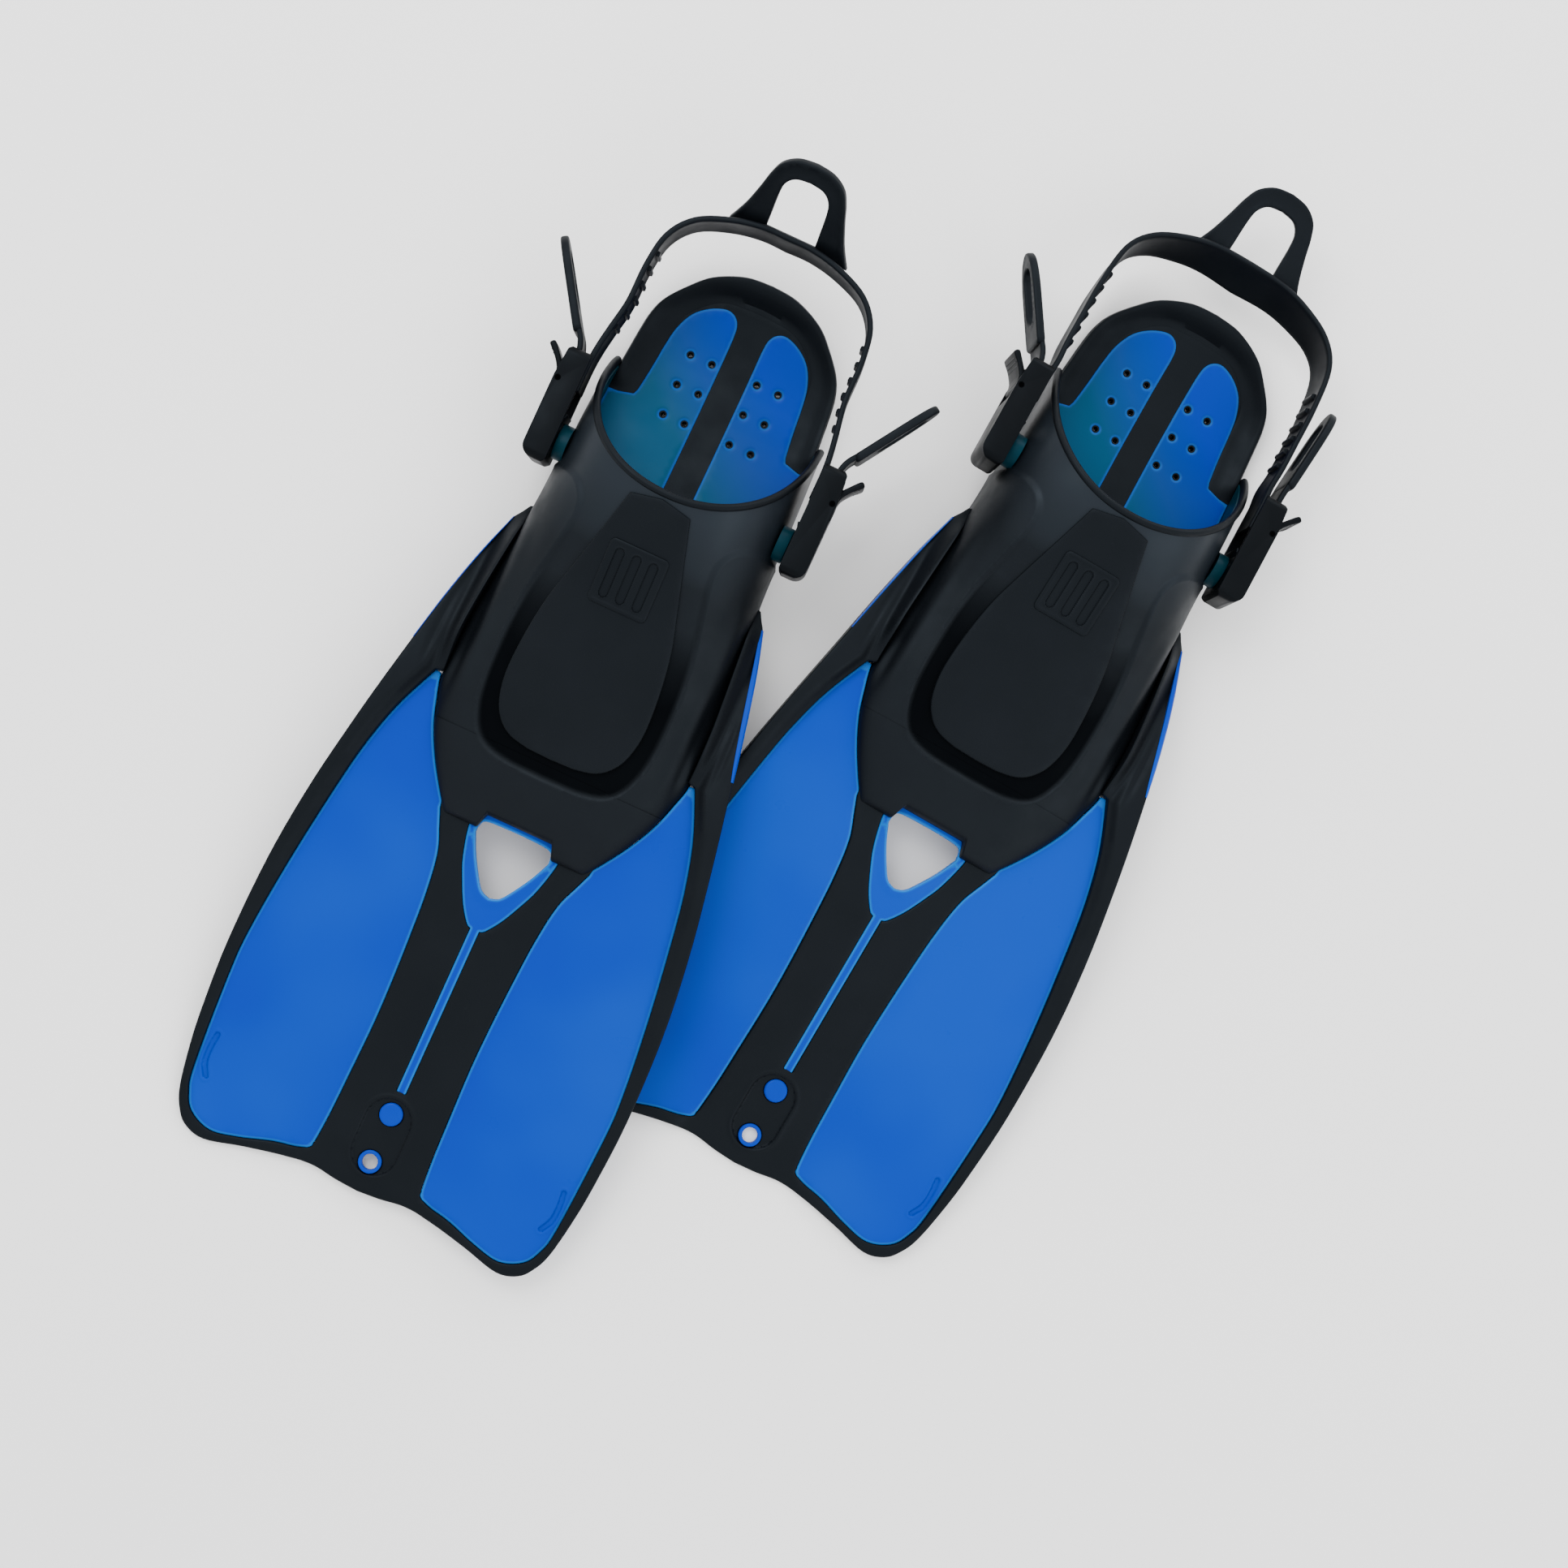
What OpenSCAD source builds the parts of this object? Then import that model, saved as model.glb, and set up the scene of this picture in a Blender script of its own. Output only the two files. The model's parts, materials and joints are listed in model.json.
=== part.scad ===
// A pair of open-heel swim fins lying on the floor, the left fin resting on the right fin's edge.
// Each fin is drawn in its own frame: X across, Y from the blade's tip to the heel, Z up from the floor.

/* [Fin] */
// Length of the blade, from its tip to the toe of the foot pocket
blade_len = 240; // [200:1:290]
// Width of the blade at its widest
blade_w = 214; // [178:1:257]
// Length from the toe of the foot pocket to the end of the heel plate
foot_len = 260; // [216:1:312]
// Outside width of the foot pocket at the ball of the foot
foot_w = 120; // [100:1:144]
// Height of the blade's arch
arch_h = 28; // [23:1:34]
// Height of the instep lip above the floor
instep_h = 84; // [74:1:100]

/* [Blade] */
// Thickness of the blade at its tip
tip_t = 2.2; // [1.8:0.1:3]
// Thickness of the blade at the toe of the pocket
root_t = 4.4; // [3.5:0.1:6]
// How far the rubber spine stands proud of the panels
spine_proud = 0.9; // [0.4:0.1:2]
// Angle at which each side of the blade rises outwards
dihedral = 3.2; // [0:0.1:6]
// Radius of the hanging hole
hang_r = 3.9; // [3:0.1:5]
// Width of the blue ring around the hanging hole
ring_w = 1.9; // [1:0.1:3]
// Distance of the hanging hole from the tip
hang_y = 23.5; // [20:0.5:28]
// Radius of the round inlay above the hanging hole
inlay_r = 5.8; // [4:0.1:7]
// Distance of the round inlay from the tip
inlay_y = 49.3; // [44:0.1:50]

/* [Foot pocket] */
// Thickness of the pocket's rubber wall
wall = 3.4; // [2.5:0.1:5]
// Height of the toe lip above the blade
lip_h = 6; // [4:0.5:8]
// Thickness of the raised instep panel
instep_t = 1.6; // [1:0.1:3]
// Radius of the bead around the foot opening
rim_r = 1.9; // [1.8:0.1:2.6]
// Thickness of the blue footbed
footbed_t = 2.5; // [1.5:0.1:4]
// Thickness of the rubber sole under the footbed
sole_t = 4; // [3:0.1:6]
// Thickness of the tread bars and pads
tread_t = 1.5; // [1:0.1:3]
// Radius of the drain holes in the heel
drain_r = 1.9; // [1:0.1:3]
// Half-width of the rubber stripe along the footbed
stripe_half = 7.8; // [5:0.1:9]

/* [Buckles and strap] */
// Height of the buckle pivot above the floor
pivot_z = 42; // [38:0.5:48]
// Length of a buckle
buckle_len = 57; // [54:0.5:68]
// Width of the strap, up and down
strap_w = 22; // [18:0.5:26]
// Thickness of the strap
strap_t = 2.8; // [2.2:0.1:3.4]
// Thickness of a buckle's side walls
flange_t = 2.4; // [1.8:0.1:3]
// Radius of the stub that a buckle turns on
stub_r = 4; // [3:0.1:5]
// Radius of the bar that the strap turns around
bar_r = 1.7; // [1.4:0.1:2.2]
// Radius of the lever's pin
pin_r = 1.2; // [0.8:0.1:1.6]
// Running clearance of a pin or stub in its hole
running = 0.05; // [0.02:0.01:0.1]
// Clearance between separate moving pieces
gap = 0.35; // [0.3:0.05:0.6]
// Room for the strap to slide in its buckle, each way
travel = 12; // [6:1:14]
// How far the heel band stands behind the heel plate
band_gap = 15; // [8:0.5:24]
// Height of the teeth along the strap
tooth_h = 1.6; // [1:0.1:2]
// Length of the pull loop behind the heel band
loop_len = 47; // [36:1:60]
// Length of a strap tail beyond its buckle
tail_len = 56; // [46:1:70]
// Length of the finger hole in a strap tail
finger_l = 28; // [20:1:34]

/* [Hidden] */
PIECES = [
    "blade_panels", "vent_frame", "spine", "side_rails", "tip_edge", "hang_ring", "tip_inlay",
    "toe_cap", "foot_pocket", "instep_panel", "grip_block", "opening_rim",
    "footbed", "footbed_stripe", "sole", "heel_border", "tread",
    "swivel_posts", "swivel_rivets", "outer_buckle", "inner_buckle", "strap_bars", "strap_turns",
    "outer_lever", "inner_lever", "lever_pins",
    "heel_strap", "pull_loop", "outer_tail", "inner_tail"
];
$fn = 48;

blue = "#0a63c8";
black = "#202429";
steel = "#a8adb2";

// The outlines are drawn at these sizes and stretched to the real ones.
draw_blade_len = 240;
draw_blade_w = 214;
draw_foot_len = 260;
draw_foot_w = 120;
draw_arch_h = 28;
kx = blade_w / draw_blade_w;
kf = foot_w / draw_foot_w;
kz = arch_h / draw_arch_h;
function real_y(y) =
    y < draw_blade_len ? y * blade_len / draw_blade_len
                       : blade_len + (y - draw_blade_len) * foot_len / draw_foot_len;

// ---- Curves ----
function span(p, x, i = 0) = (i >= len(p) - 2 || x < p[i + 1][0]) ? i : span(p, x, i + 1);
function slope(p, i) =
    let(a = max(0, i - 1), b = min(len(p) - 1, i + 1)) (p[b][1] - p[a][1]) / (p[b][0] - p[a][0]);
// Smooth curve through the points p, read at x
function curve(p, x) =
    let(i = span(p, x), h = p[i + 1][0] - p[i][0], t = max(0, min(1, (x - p[i][0]) / h)))
    (2 * t^3 - 3 * t^2 + 1) * p[i][1] + (t^3 - 2 * t^2 + t) * h * slope(p, i)
    + (3 * t^2 - 2 * t^3) * p[i + 1][1] + (t^3 - t^2) * h * slope(p, i + 1);
function between(a, b, c, d, t) =
    0.5 * (2 * b + (c - a) * t + (2 * a - 5 * b + 4 * c - d) * t^2 + (3 * b - a - 3 * c + d) * t^3);
// Smooth open path through the points p, n steps to each span
function smooth(p, n) = [
    for (i = [0 : len(p) - 2]) for (j = [0 : n - 1])
        between(p[max(0, i - 1)], p[i], p[i + 1], p[min(len(p) - 1, i + 2)], j / n),
    p[len(p) - 1]];
function flip(p) = [for (i = [len(p) - 1 : -1 : 0]) [-p[i][0], p[i][1]]];
function both_sides(p) = concat(p, flip(p));
function on_blade(p) = [for (q = p) [q[0] * kx, real_y(q[1])]];
function on_foot(p) = [for (q = p) [q[0] * kf, real_y(q[1])]];
function steps(a, b, n) = [for (i = [0 : n]) a + (b - a) * i / n];

// ---- Heights along the fin, at the drawing's y ----
toe = 196;
sole_start = 236;
wall_end = 436;
heel_end = 499;
function arch(y) = tip_t + kz * curve([[0, -0.3], [24, 1.5], [62, 6.3], [110, 12.2], [149, 17.1],
    [195, 22.8], [235, 26.4], [262, 27.6], [300, 26.5], [345, 21]], y);
function blade_t(y) = tip_t + (root_t - tip_t) * min(1, y / toe);
function spine_top(y) = arch(y) + spine_proud * min(1, (y + 12) / 40);
function spine_bottom(y) = arch(y) - blade_t(y) - spine_proud / 2 * min(1, y / 40);
function rail_top(y) =
    arch(y) + curve([[0, 0.8], [30, 2.2], [100, 3], [200, 6], [250, 8], [300, 7], [345, 2]], y);
function rail_bottom(y) = arch(y) - blade_t(y)
    - curve([[0, 0], [30, 0.4], [100, 1.2], [200, 3.6], [250, 5], [300, 5], [345, 2]], y);
function sole_bottom(y) = tread_t + kz * max(0, curve([[236, 19], [262, 18.5], [300, 15.2], [340, 10.4],
    [380, 5], [414, 0.9], [428, 0], [446, 0], [460, 1.2], [475, 4], [487, 7], [499, 10.5]], y));
function footbed_bottom(y) = sole_bottom(y) + sole_t;
function footbed_top(y) = footbed_bottom(y) + footbed_t;
lip_z = arch(toe) + lip_h;
function pocket_top(y) = lip_z + (instep_h - lip_z) * curve([[196, 0], [204, 0.06], [230, 0.2],
    [250, 0.27], [280, 0.39], [317, 0.565], [347, 0.77], [374, 0.97], [400, 1.06], [436, 1.1]], y);

// ---- Half-widths ----
function pocket_half(y) = kf * curve([[196, 37], [204, 43], [218, 52], [232, 59], [246, 63.6],
    [256, 66], [280, 66.3], [300, 65], [340, 61.5], [360, 60], [400, 58.7], [436, 57]], y);
function spine_half(y) = kx * curve([[0, 31], [32, 27.8], [60, 26.7], [88, 26], [110, 26.4],
    [135, 27.5], [157, 29], [177, 32], [190, 37], [200, 41]], y);
flat_half = 27 * kx;
dome_n = 2.6;
// Height of the pocket's outer skin over the point x
function dome_z(x, y) = footbed_top(y) + (pocket_top(y) - footbed_top(y))
    * pow(max(0, 1 - pow(abs(x) / pocket_half(y), dome_n)), 1 / dome_n);
// Point of a skin that lies `inset` inside the pocket's outer skin, at angle a from the top
function dome_point(y, a, inset, base) = [
    (pocket_half(y) - inset) * sign(a) * pow(sin(abs(a)), 2 / dome_n), real_y(y),
    base + (pocket_top(y) - inset - base) * pow(max(0, cos(a)), 2 / dome_n)];
// Where the foot opening's edge lies at angle a
function rim_y(a) = 375 + (wall_end - 375) * pow(abs(a) / 90, 1.68);

// ---- Solids from grids of points ----
function flat(rows) = [for (row = rows) for (p = row) p];
// Closed sheet between an upper and a lower grid of points
module sheet(upper, lower) {
    n = len(upper);
    m = len(upper[0]);
    function u(i, j) = i * m + j;
    function l(i, j) = n * m + i * m + j;
    function quad(a, b, c, d) = [[a, b, c], [a, c, d]];
    polyhedron(concat(flat(upper), flat(lower)), concat(
        [for (i = [0 : n - 2]) for (j = [0 : m - 2])
            for (f = quad(u(i, j), u(i + 1, j), u(i + 1, j + 1), u(i, j + 1))) f],
        [for (i = [0 : n - 2]) for (j = [0 : m - 2])
            for (f = quad(l(i, j), l(i, j + 1), l(i + 1, j + 1), l(i + 1, j))) f],
        [for (i = [0 : n - 2]) for (f = concat(quad(u(i, 0), l(i, 0), l(i + 1, 0), u(i + 1, 0)),
            quad(u(i, m - 1), u(i + 1, m - 1), l(i + 1, m - 1), l(i, m - 1)))) f],
        [for (j = [0 : m - 2]) for (f = concat(quad(u(0, j), u(0, j + 1), l(0, j + 1), l(0, j)),
            quad(u(n - 1, j), l(n - 1, j), l(n - 1, j + 1), u(n - 1, j + 1)))) f]
    ));
}
// Bar whose cross-sections are the given rings of points
module bar(rings) {
    n = len(rings);
    m = len(rings[0]);
    polyhedron(flat(rings), concat(
        [for (i = [0 : n - 2]) for (j = [0 : m - 1]) let(k = (j + 1) % m, a = i * m, b = a + m)
            for (f = [[a + j, a + k, b + k], [a + j, b + k, b + j]]) f],
        [[for (j = [m - 1 : -1 : 0]) j]],
        [[for (j = [0 : m - 1]) (n - 1) * m + j]]
    ));
}
// Layer of the fin between two height functions, from drawing y0 to y1
module layer(top, bottom, y0, y1, n, half) {
    ys = steps(y0, y1, n);
    translate([-half, 0, 0]) rotate([90, 0, 90]) linear_extrude(2 * half)
        polygon(concat([for (y = ys) [real_y(y), bottom(y)]],
                       [for (i = [n : -1 : 0]) [real_y(ys[i]), top(ys[i])]]));
}
module foot_layer(top, bottom) layer(top, bottom, sole_start, heel_end, 24, blade_w);
// The same layer on one side of the blade, tilted up by the dihedral
module tilted_layer(top, bottom, y0, y1, n)
    translate([flat_half, 0, 0]) rotate([0, -dihedral, 0])
        layer(top, bottom, y0, y1, n, blade_w);
module both() {
    children();
    mirror([1, 0, 0]) children();
}
tall = instep_h + 40;

// ---- Plan outlines ----
module blade_plan() polygon(both_sides(smooth(on_blade([[0, 7.5], [12, 8.4], [25, 10.1], [40, 8.6],
    [60, 4.5], [79, 0], [90, 3], [96, 10], [100, 20], [103.4, 40], [105.4, 60], [107, 95],
    [105.5, 140], [101, 180], [94, 220], [86, 260], [80, 290], [73, 320], [66, 344]]), 2)));
module panel_field() polygon(concat(smooth(on_blade([[31, 17], [37, 15], [48, 12.8], [64, 7.8],
    [78, 5.3], [89.4, 10], [94.8, 18.3], [97.8, 32], [100.3, 79], [100, 104], [95.6, 146],
    [88.6, 193], [84, 215.6], [78.3, 235], [69, 257]]), 2), on_blade([[58, 262], [20, 200], [20, 22]])));
pocket_ys = concat(steps(toe, sole_start, 6), [for (u = steps(0, 1, 14)) if (u > 0)
    sole_start + (wall_end - sole_start) * u]);
module pocket_plan() polygon(both_sides([for (y = pocket_ys) [pocket_half(y), real_y(y)]]));
module spine_plan() polygon(both_sides([for (y = steps(0, 200, 16)) [spine_half(y), real_y(y)]]));
module vent_outline() polygon(both_sides(concat(on_blade([[2.4, 61.5], [2.4, 149.4]]),
    smooth(on_blade([[5, 150.8], [10.5, 158.6], [16, 169.7], [20, 179.4], [23.6, 194], [24, 204]]), 2))));
module vent_hole() polygon(both_sides(smooth(on_blade([[0, 166.4], [5, 168.5], [10, 175.5],
    [15, 184], [19.5, 194], [16, 200]]), 3)));
module disc(y, r) translate([0, y]) circle(r);
function foot_edge(y) = pocket_half(y) - wall;
footbed_front = [for (y = pocket_ys) if (y >= sole_start && y < 421) [foot_edge(y), real_y(y)]];
module footbed_plan() polygon(both_sides(concat(footbed_front, [[foot_edge(421), real_y(421)]],
    on_foot([[50, 421], [41, 423], [39.5, 434], [38.6, 442], [37.6, 452], [36.5, 464], [33, 471],
    [25, 479], [17, 483], [8, 484]]))));
module drain_holes() both() for (y = [420, 436.5, 452.8]) for (x = [12.3, 24])
    translate([x * kf, real_y(y), -1]) cylinder(h = tall, r = drain_r);
module extruded() translate([0, 0, -20]) linear_extrude(tall) children();

// ---- Blade ----
module blade_panels() color(blue) both() intersection() {
    extruded() difference() {
        panel_field();
        spine_plan();
        pocket_plan();
    }
    tilted_layer(function(y) arch(y), function(y) arch(y) - blade_t(y), 0, 270, 22);
}
module vent_frame() color(blue) intersection() {
    extruded() difference() {
        union() {
            vent_outline();
            intersection() {
                pocket_plan();
                translate([-blade_w, 0]) square([2 * blade_w, real_y(sole_start)]);
            }
        }
        vent_hole();
    }
    layer(function(y) arch(y), function(y) arch(y) - blade_t(y), 55, sole_start, 16, blade_w);
}
module spine() color(black) difference() {
    intersection() {
        extruded() difference() {
            intersection() {
                blade_plan();
                spine_plan();
            }
            pocket_plan();
            vent_outline();
        }
        layer(function(y) spine_top(y), function(y) spine_bottom(y), 0, 204, 18, blade_w);
    }
    translate([0, hang_y, -1]) cylinder(h = tall, r = hang_r + ring_w);
    translate([0, inlay_y, -1]) cylinder(h = tall, r = inlay_r);
}
tip_cut = 19;
module rail_plan() difference() {
    blade_plan();
    panel_field();
    spine_plan();
    pocket_plan();
    translate([-blade_w, -blade_w]) square([blade_w, 4 * blade_w]);
}
module side_rails() color(black) both() intersection() {
    extruded() difference() {
        rail_plan();
        square([blade_w, real_y(tip_cut)]);
    }
    tilted_layer(function(y) rail_top(y), function(y) rail_bottom(y), 10, 345, 28);
}
module tip_edge() color(black) both() intersection() {
    extruded() intersection() {
        rail_plan();
        square([blade_w, real_y(tip_cut)]);
    }
    tilted_layer(function(y) rail_top(y), function(y) rail_bottom(y), 0, 30, 4);
}
module hang_ring() color(blue) translate([0, hang_y, spine_bottom(hang_y)]) difference() {
    cylinder(h = spine_top(hang_y) - spine_bottom(hang_y), r = hang_r + ring_w);
    translate([0, 0, -1]) cylinder(h = 10, r = hang_r);
}
module tip_inlay() color(blue) translate([0, inlay_y, spine_bottom(inlay_y)])
    cylinder(h = spine_top(inlay_y) - spine_bottom(inlay_y), r = inlay_r);

// ---- Foot pocket ----
dome_as = steps(-90, 90, 16);
notch_half = 18 * kf;
function toe_y(x) = abs(x) < notch_half ? 203.5 : toe;
module toe_cap() {
    rows = steps(0, 1, 7);
    function row_y(u, x) = toe_y(x) + (sole_start - toe_y(x)) * u;
    function col(u, a) = let(x = pocket_half(toe + (sole_start - toe) * u)
        * sign(a) * pow(sin(abs(a)), 2 / dome_n), y = row_y(u, x)) [x, y];
    color(black) sheet([for (u = rows) [for (a = dome_as) let(c = col(u, a)) [c[0], real_y(c[1]),
            arch(c[1]) + max(0.8, (pocket_top(c[1]) - arch(c[1])) * pow(max(0, cos(a)), 2 / dome_n))]]],
        [for (u = rows) [for (a = dome_as) let(c = col(u, a)) [c[0], real_y(c[1]), arch(c[1])]]]);
}
function wall_foot(u, inset, side) = let(y = sole_start + (wall_end - sole_start) * u)
    [side * (pocket_half(y) - inset), real_y(y), sole_bottom(y)];
function pocket_row(u, inset) = concat(
    [wall_foot(u, inset, -1)],
    [for (a = dome_as) let(y = sole_start + (rim_y(a) - sole_start) * u)
        dome_point(y, a, inset, footbed_top(y))],
    [wall_foot(u, inset, 1)]);
pocket_us = steps(0, 1, 14);
module foot_pocket() color(black)
    sheet([for (u = pocket_us) pocket_row(u, 0)], [for (u = pocket_us) pocket_row(u, wall)]);
module instep_panel() {
    ys = steps(241, 371, 12);
    function half(y) = kf * curve([[241, 15], [246, 28], [255, 35.2], [270, 36.5], [290, 35.5],
        [310, 32.5], [327, 27.5], [350, 21], [371, 16]], y);
    function patch(lift) = [for (y = ys) [for (s = steps(-1, 1, 8))
        [s * half(y), real_y(y), dome_z(s * half(y), y) + lift]]];
    color(black) sheet(patch(instep_t), patch(-0.3));
}
module rounded(w, h, r) {
    square([w - 2 * r, h], center = true);
    square([w, h - 2 * r], center = true);
    for (x = [-1, 1]) for (y = [-1, 1]) translate([x * (w / 2 - r), y * (h / 2 - r)]) circle(r);
}
module slot(w, h) {
    square([w, h - w], center = true);
    for (y = [-1, 1]) translate([0, y * (h - w) / 2]) circle(w / 2);
}
grip_y = 332;
grip_w = 29 * kf;
grip_l = 30;
grip_y0 = grip_y - grip_l / 2;
grip_y1 = grip_y + grip_l / 2;
grip_slope = atan((pocket_top(grip_y1) - pocket_top(grip_y0)) / (real_y(grip_y1) - real_y(grip_y0)));
module grip_block() color(black)
    translate([0, real_y(grip_y), pocket_top(grip_y) + instep_t]) rotate([grip_slope, 0, 0])
        translate([0, 0, -1.6]) linear_extrude(3.4) difference() {
            rounded(grip_w, grip_l, 4);
            for (i = [-1 : 1]) translate([i * grip_w * 0.31, 0]) slot(3.7, grip_l - 6);
        }
module opening_rim() {
    function centre(a) = (dome_point(rim_y(a), a, 0, footbed_top(rim_y(a)))
        + dome_point(rim_y(a), a, wall, footbed_top(rim_y(a)))) / 2;
    function outward(a) = dome_point(rim_y(a), a, 0, footbed_top(rim_y(a)))
        - dome_point(rim_y(a), a, wall, footbed_top(rim_y(a)));
    as = steps(-88, 88, 22);
    color(black) bar([for (a = as) let(c = centre(a), d = centre(a + 0.5) - centre(a - 0.5),
            t = d / norm(d), o = outward(a), n = o - (o * t) * t, side = n / norm(n), up = cross(t, side))
        [for (k = [0 : 7]) c + rim_r * (cos(45 * k) * side + sin(45 * k) * up)]]);
}
module footbed() color(blue) difference() {
    intersection() {
        extruded() difference() {
            footbed_plan();
            translate([-stripe_half, 0]) square([2 * stripe_half, 3 * foot_len]);
        }
        foot_layer(function(y) footbed_top(y), function(y) footbed_bottom(y));
    }
    drain_holes();
}
module footbed_stripe() color(black) intersection() {
    extruded() intersection() {
        footbed_plan();
        translate([-stripe_half, 0]) square([2 * stripe_half, 3 * foot_len]);
    }
    foot_layer(function(y) footbed_top(y), function(y) footbed_bottom(y));
}
module sole() color(black) difference() {
    intersection() {
        extruded() footbed_plan();
        foot_layer(function(y) footbed_bottom(y), function(y) sole_bottom(y));
    }
    drain_holes();
}
border_rise = 4;
module heel_border() {
    // Each row gives the border's inner and outer edge: x, y, x, y
    side = [[50, 421, 0, 421], [41, 423, 0, 428], [39.5, 434, 0, 436], [38.6, 442, 53, 443],
        [37.6, 452, 52.3, 453], [36.5, 464, 50.8, 463], [33, 471, 47.2, 472], [25, 479, 39, 482],
        [17, 483, 29, 491], [8, 484, 14, 497.4]];
    function outer_x(r) = r[3] <= wall_end ? foot_edge(r[3]) : r[2] * kf;
    function ring(r, s) = [
        [s * r[0] * kf, real_y(r[1]), sole_bottom(r[1])],
        [s * r[0] * kf, real_y(r[1]), footbed_top(r[1])],
        [s * outer_x(r), real_y(r[3]), footbed_top(r[3]) + (r[3] <= 421 ? 0 : border_rise)],
        [s * outer_x(r), real_y(r[3]), sole_bottom(r[3]) + 2]];
    color(black) bar(concat([for (r = side) ring(r, -1)],
        [for (i = [len(side) - 1 : -1 : 0]) ring(side[i], 1)]));
}
module tread() color(black) intersection() {
    extruded() {
        for (y = [262 : 22 : 394]) translate([-38 * kf, real_y(y)]) square([76 * kf, 9]);
        translate([-8 * kf, real_y(428)]) square([16 * kf, real_y(446) - real_y(428)]);
        both() translate([28.5 * kf, real_y(428)]) square([9 * kf, real_y(446) - real_y(428)]);
    }
    foot_layer(function(y) sole_bottom(y), function(y) sole_bottom(y) - tread_t);
}

// ---- Buckles: drawn on the +X side of the fin; X is measured from the fin's middle ----
pivot_y = real_y(381.5);
lug_t = 2.2;
plate_t = 2;
wall_x = pocket_half(381.5);
buckle_x0 = wall_x + lug_t;
strap_x = wall_x + 1.4 + strap_t / 2;
bar_x = strap_x + strap_t / 2 + bar_r;
tail_x = bar_x + bar_r + strap_t / 2;
boss_r = pin_r + 0.9;
pin_x = tail_x + strap_t / 2 + gap + boss_r;
buckle_x1 = pin_x + boss_r + 0.2;
buckle_front = -13.5;
bar_y = 12.5;
pin_y = bar_y + 14;
channel = strap_w + 1.6;
buckle_h = channel + 2 * flange_t;
turn_r = bar_r + strap_t;
module at_pivot() translate([0, pivot_y, pivot_z]) children();
module across(x0, x1, r) translate([x0, 0, 0]) rotate([0, 90, 0]) cylinder(h = x1 - x0, r = r);
module upright(x, y, r, h) translate([x, y, -h / 2]) cylinder(h = h, r = r);
module buckle() color(black) at_pivot() difference() {
    intersection() {
        translate([0, 0, -buckle_h / 2]) linear_extrude(buckle_h)
            polygon(concat([[buckle_x0, buckle_front + buckle_len], [buckle_x0, buckle_front + 2],
                [buckle_x0 + 2, buckle_front]],
                [for (a = [270 : 15 : 360]) [buckle_x1 - 6 + 6 * cos(a), buckle_front + 6 + 6 * sin(a)]],
                [[buckle_x1, buckle_front + buckle_len - 16],
                [buckle_x1 - 1.2, buckle_front + buckle_len - 2],
                [buckle_x1 - 3, buckle_front + buckle_len]]));
        translate([0, buckle_front + buckle_len / 2, 0]) rotate([90, 0, 90]) linear_extrude(3 * foot_w)
            union() {
                rounded(buckle_len, buckle_h, 4);
                translate([-buckle_len / 2 + buckle_h / 2, 0]) circle(buckle_h / 2);
            }
    }
    // Strap channel, its inner mouth and the lever's opening
    translate([buckle_x0 + plate_t, buckle_front + 2.5, -channel / 2])
        cube([buckle_x1 - buckle_x0 - plate_t - 1.5, buckle_len, channel]);
    translate([buckle_x0 - 1, bar_y - turn_r - gap, -channel / 2]) cube([plate_t + 2, buckle_len, channel]);
    translate([buckle_x1 - 3, pin_y - 7.5, -channel / 2]) cube([4, buckle_len, channel]);
    across(buckle_x0 - 1, buckle_x0 + plate_t + 1, stub_r + running);
    upright(pin_x, pin_y, pin_r, 2 * buckle_h);
}
module swivel_posts() color(blue) both() at_pivot() {
    across(wall_x - 3.8, buckle_x0 - gap, 9);
    difference() {
        across(buckle_x0 - gap, buckle_x0 + plate_t + 0.2, stub_r);
        across(buckle_x0 - 1, buckle_x0 + plate_t + 1, 1.6);
    }
}
module swivel_rivets() color(steel) both() at_pivot() {
    across(buckle_x0 - gap, buckle_x0 + plate_t + 0.2, 1.6);
    across(buckle_x0 + plate_t + 0.2, buckle_x0 + plate_t + 1.4, 6.4);
}
module strap_bars() color(steel) both() at_pivot() upright(bar_x, bar_y, bar_r, channel);
module strap_turns() color(black) both() at_pivot() difference() {
    upright(bar_x, bar_y, turn_r, strap_w);
    upright(bar_x, bar_y, bar_r, strap_w + 2);
    translate([bar_x - 20, bar_y, -strap_w]) cube([40, 20, 2 * strap_w]);
}
module lever_pins() color(steel) both() at_pivot() upright(pin_x, pin_y, pin_r, buckle_h - 2);
module lever() color(black) at_pivot() difference() {
    union() {
        upright(pin_x, pin_y, boss_r, channel - 1);
        translate([pin_x, pin_y, -(channel - 1) / 2]) linear_extrude(channel - 1) polygon([
            [-0.8, 1], [1.9, 0.4], [3, 5], [10.6, 13.6], [10.4, 15], [9.2, 15.8], [7.8, 15.4],
            [1.2, 7.6], [-0.4, 6.8], [-1.7, 6.8], [-1.5, 4]]);
    }
    upright(pin_x, pin_y, pin_r + running, 2 * buckle_h);
}

// ---- Strap ----
tooth_pitch = 8;
tooth_l = 3;
inner_start = bar_y + travel + gap;
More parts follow.
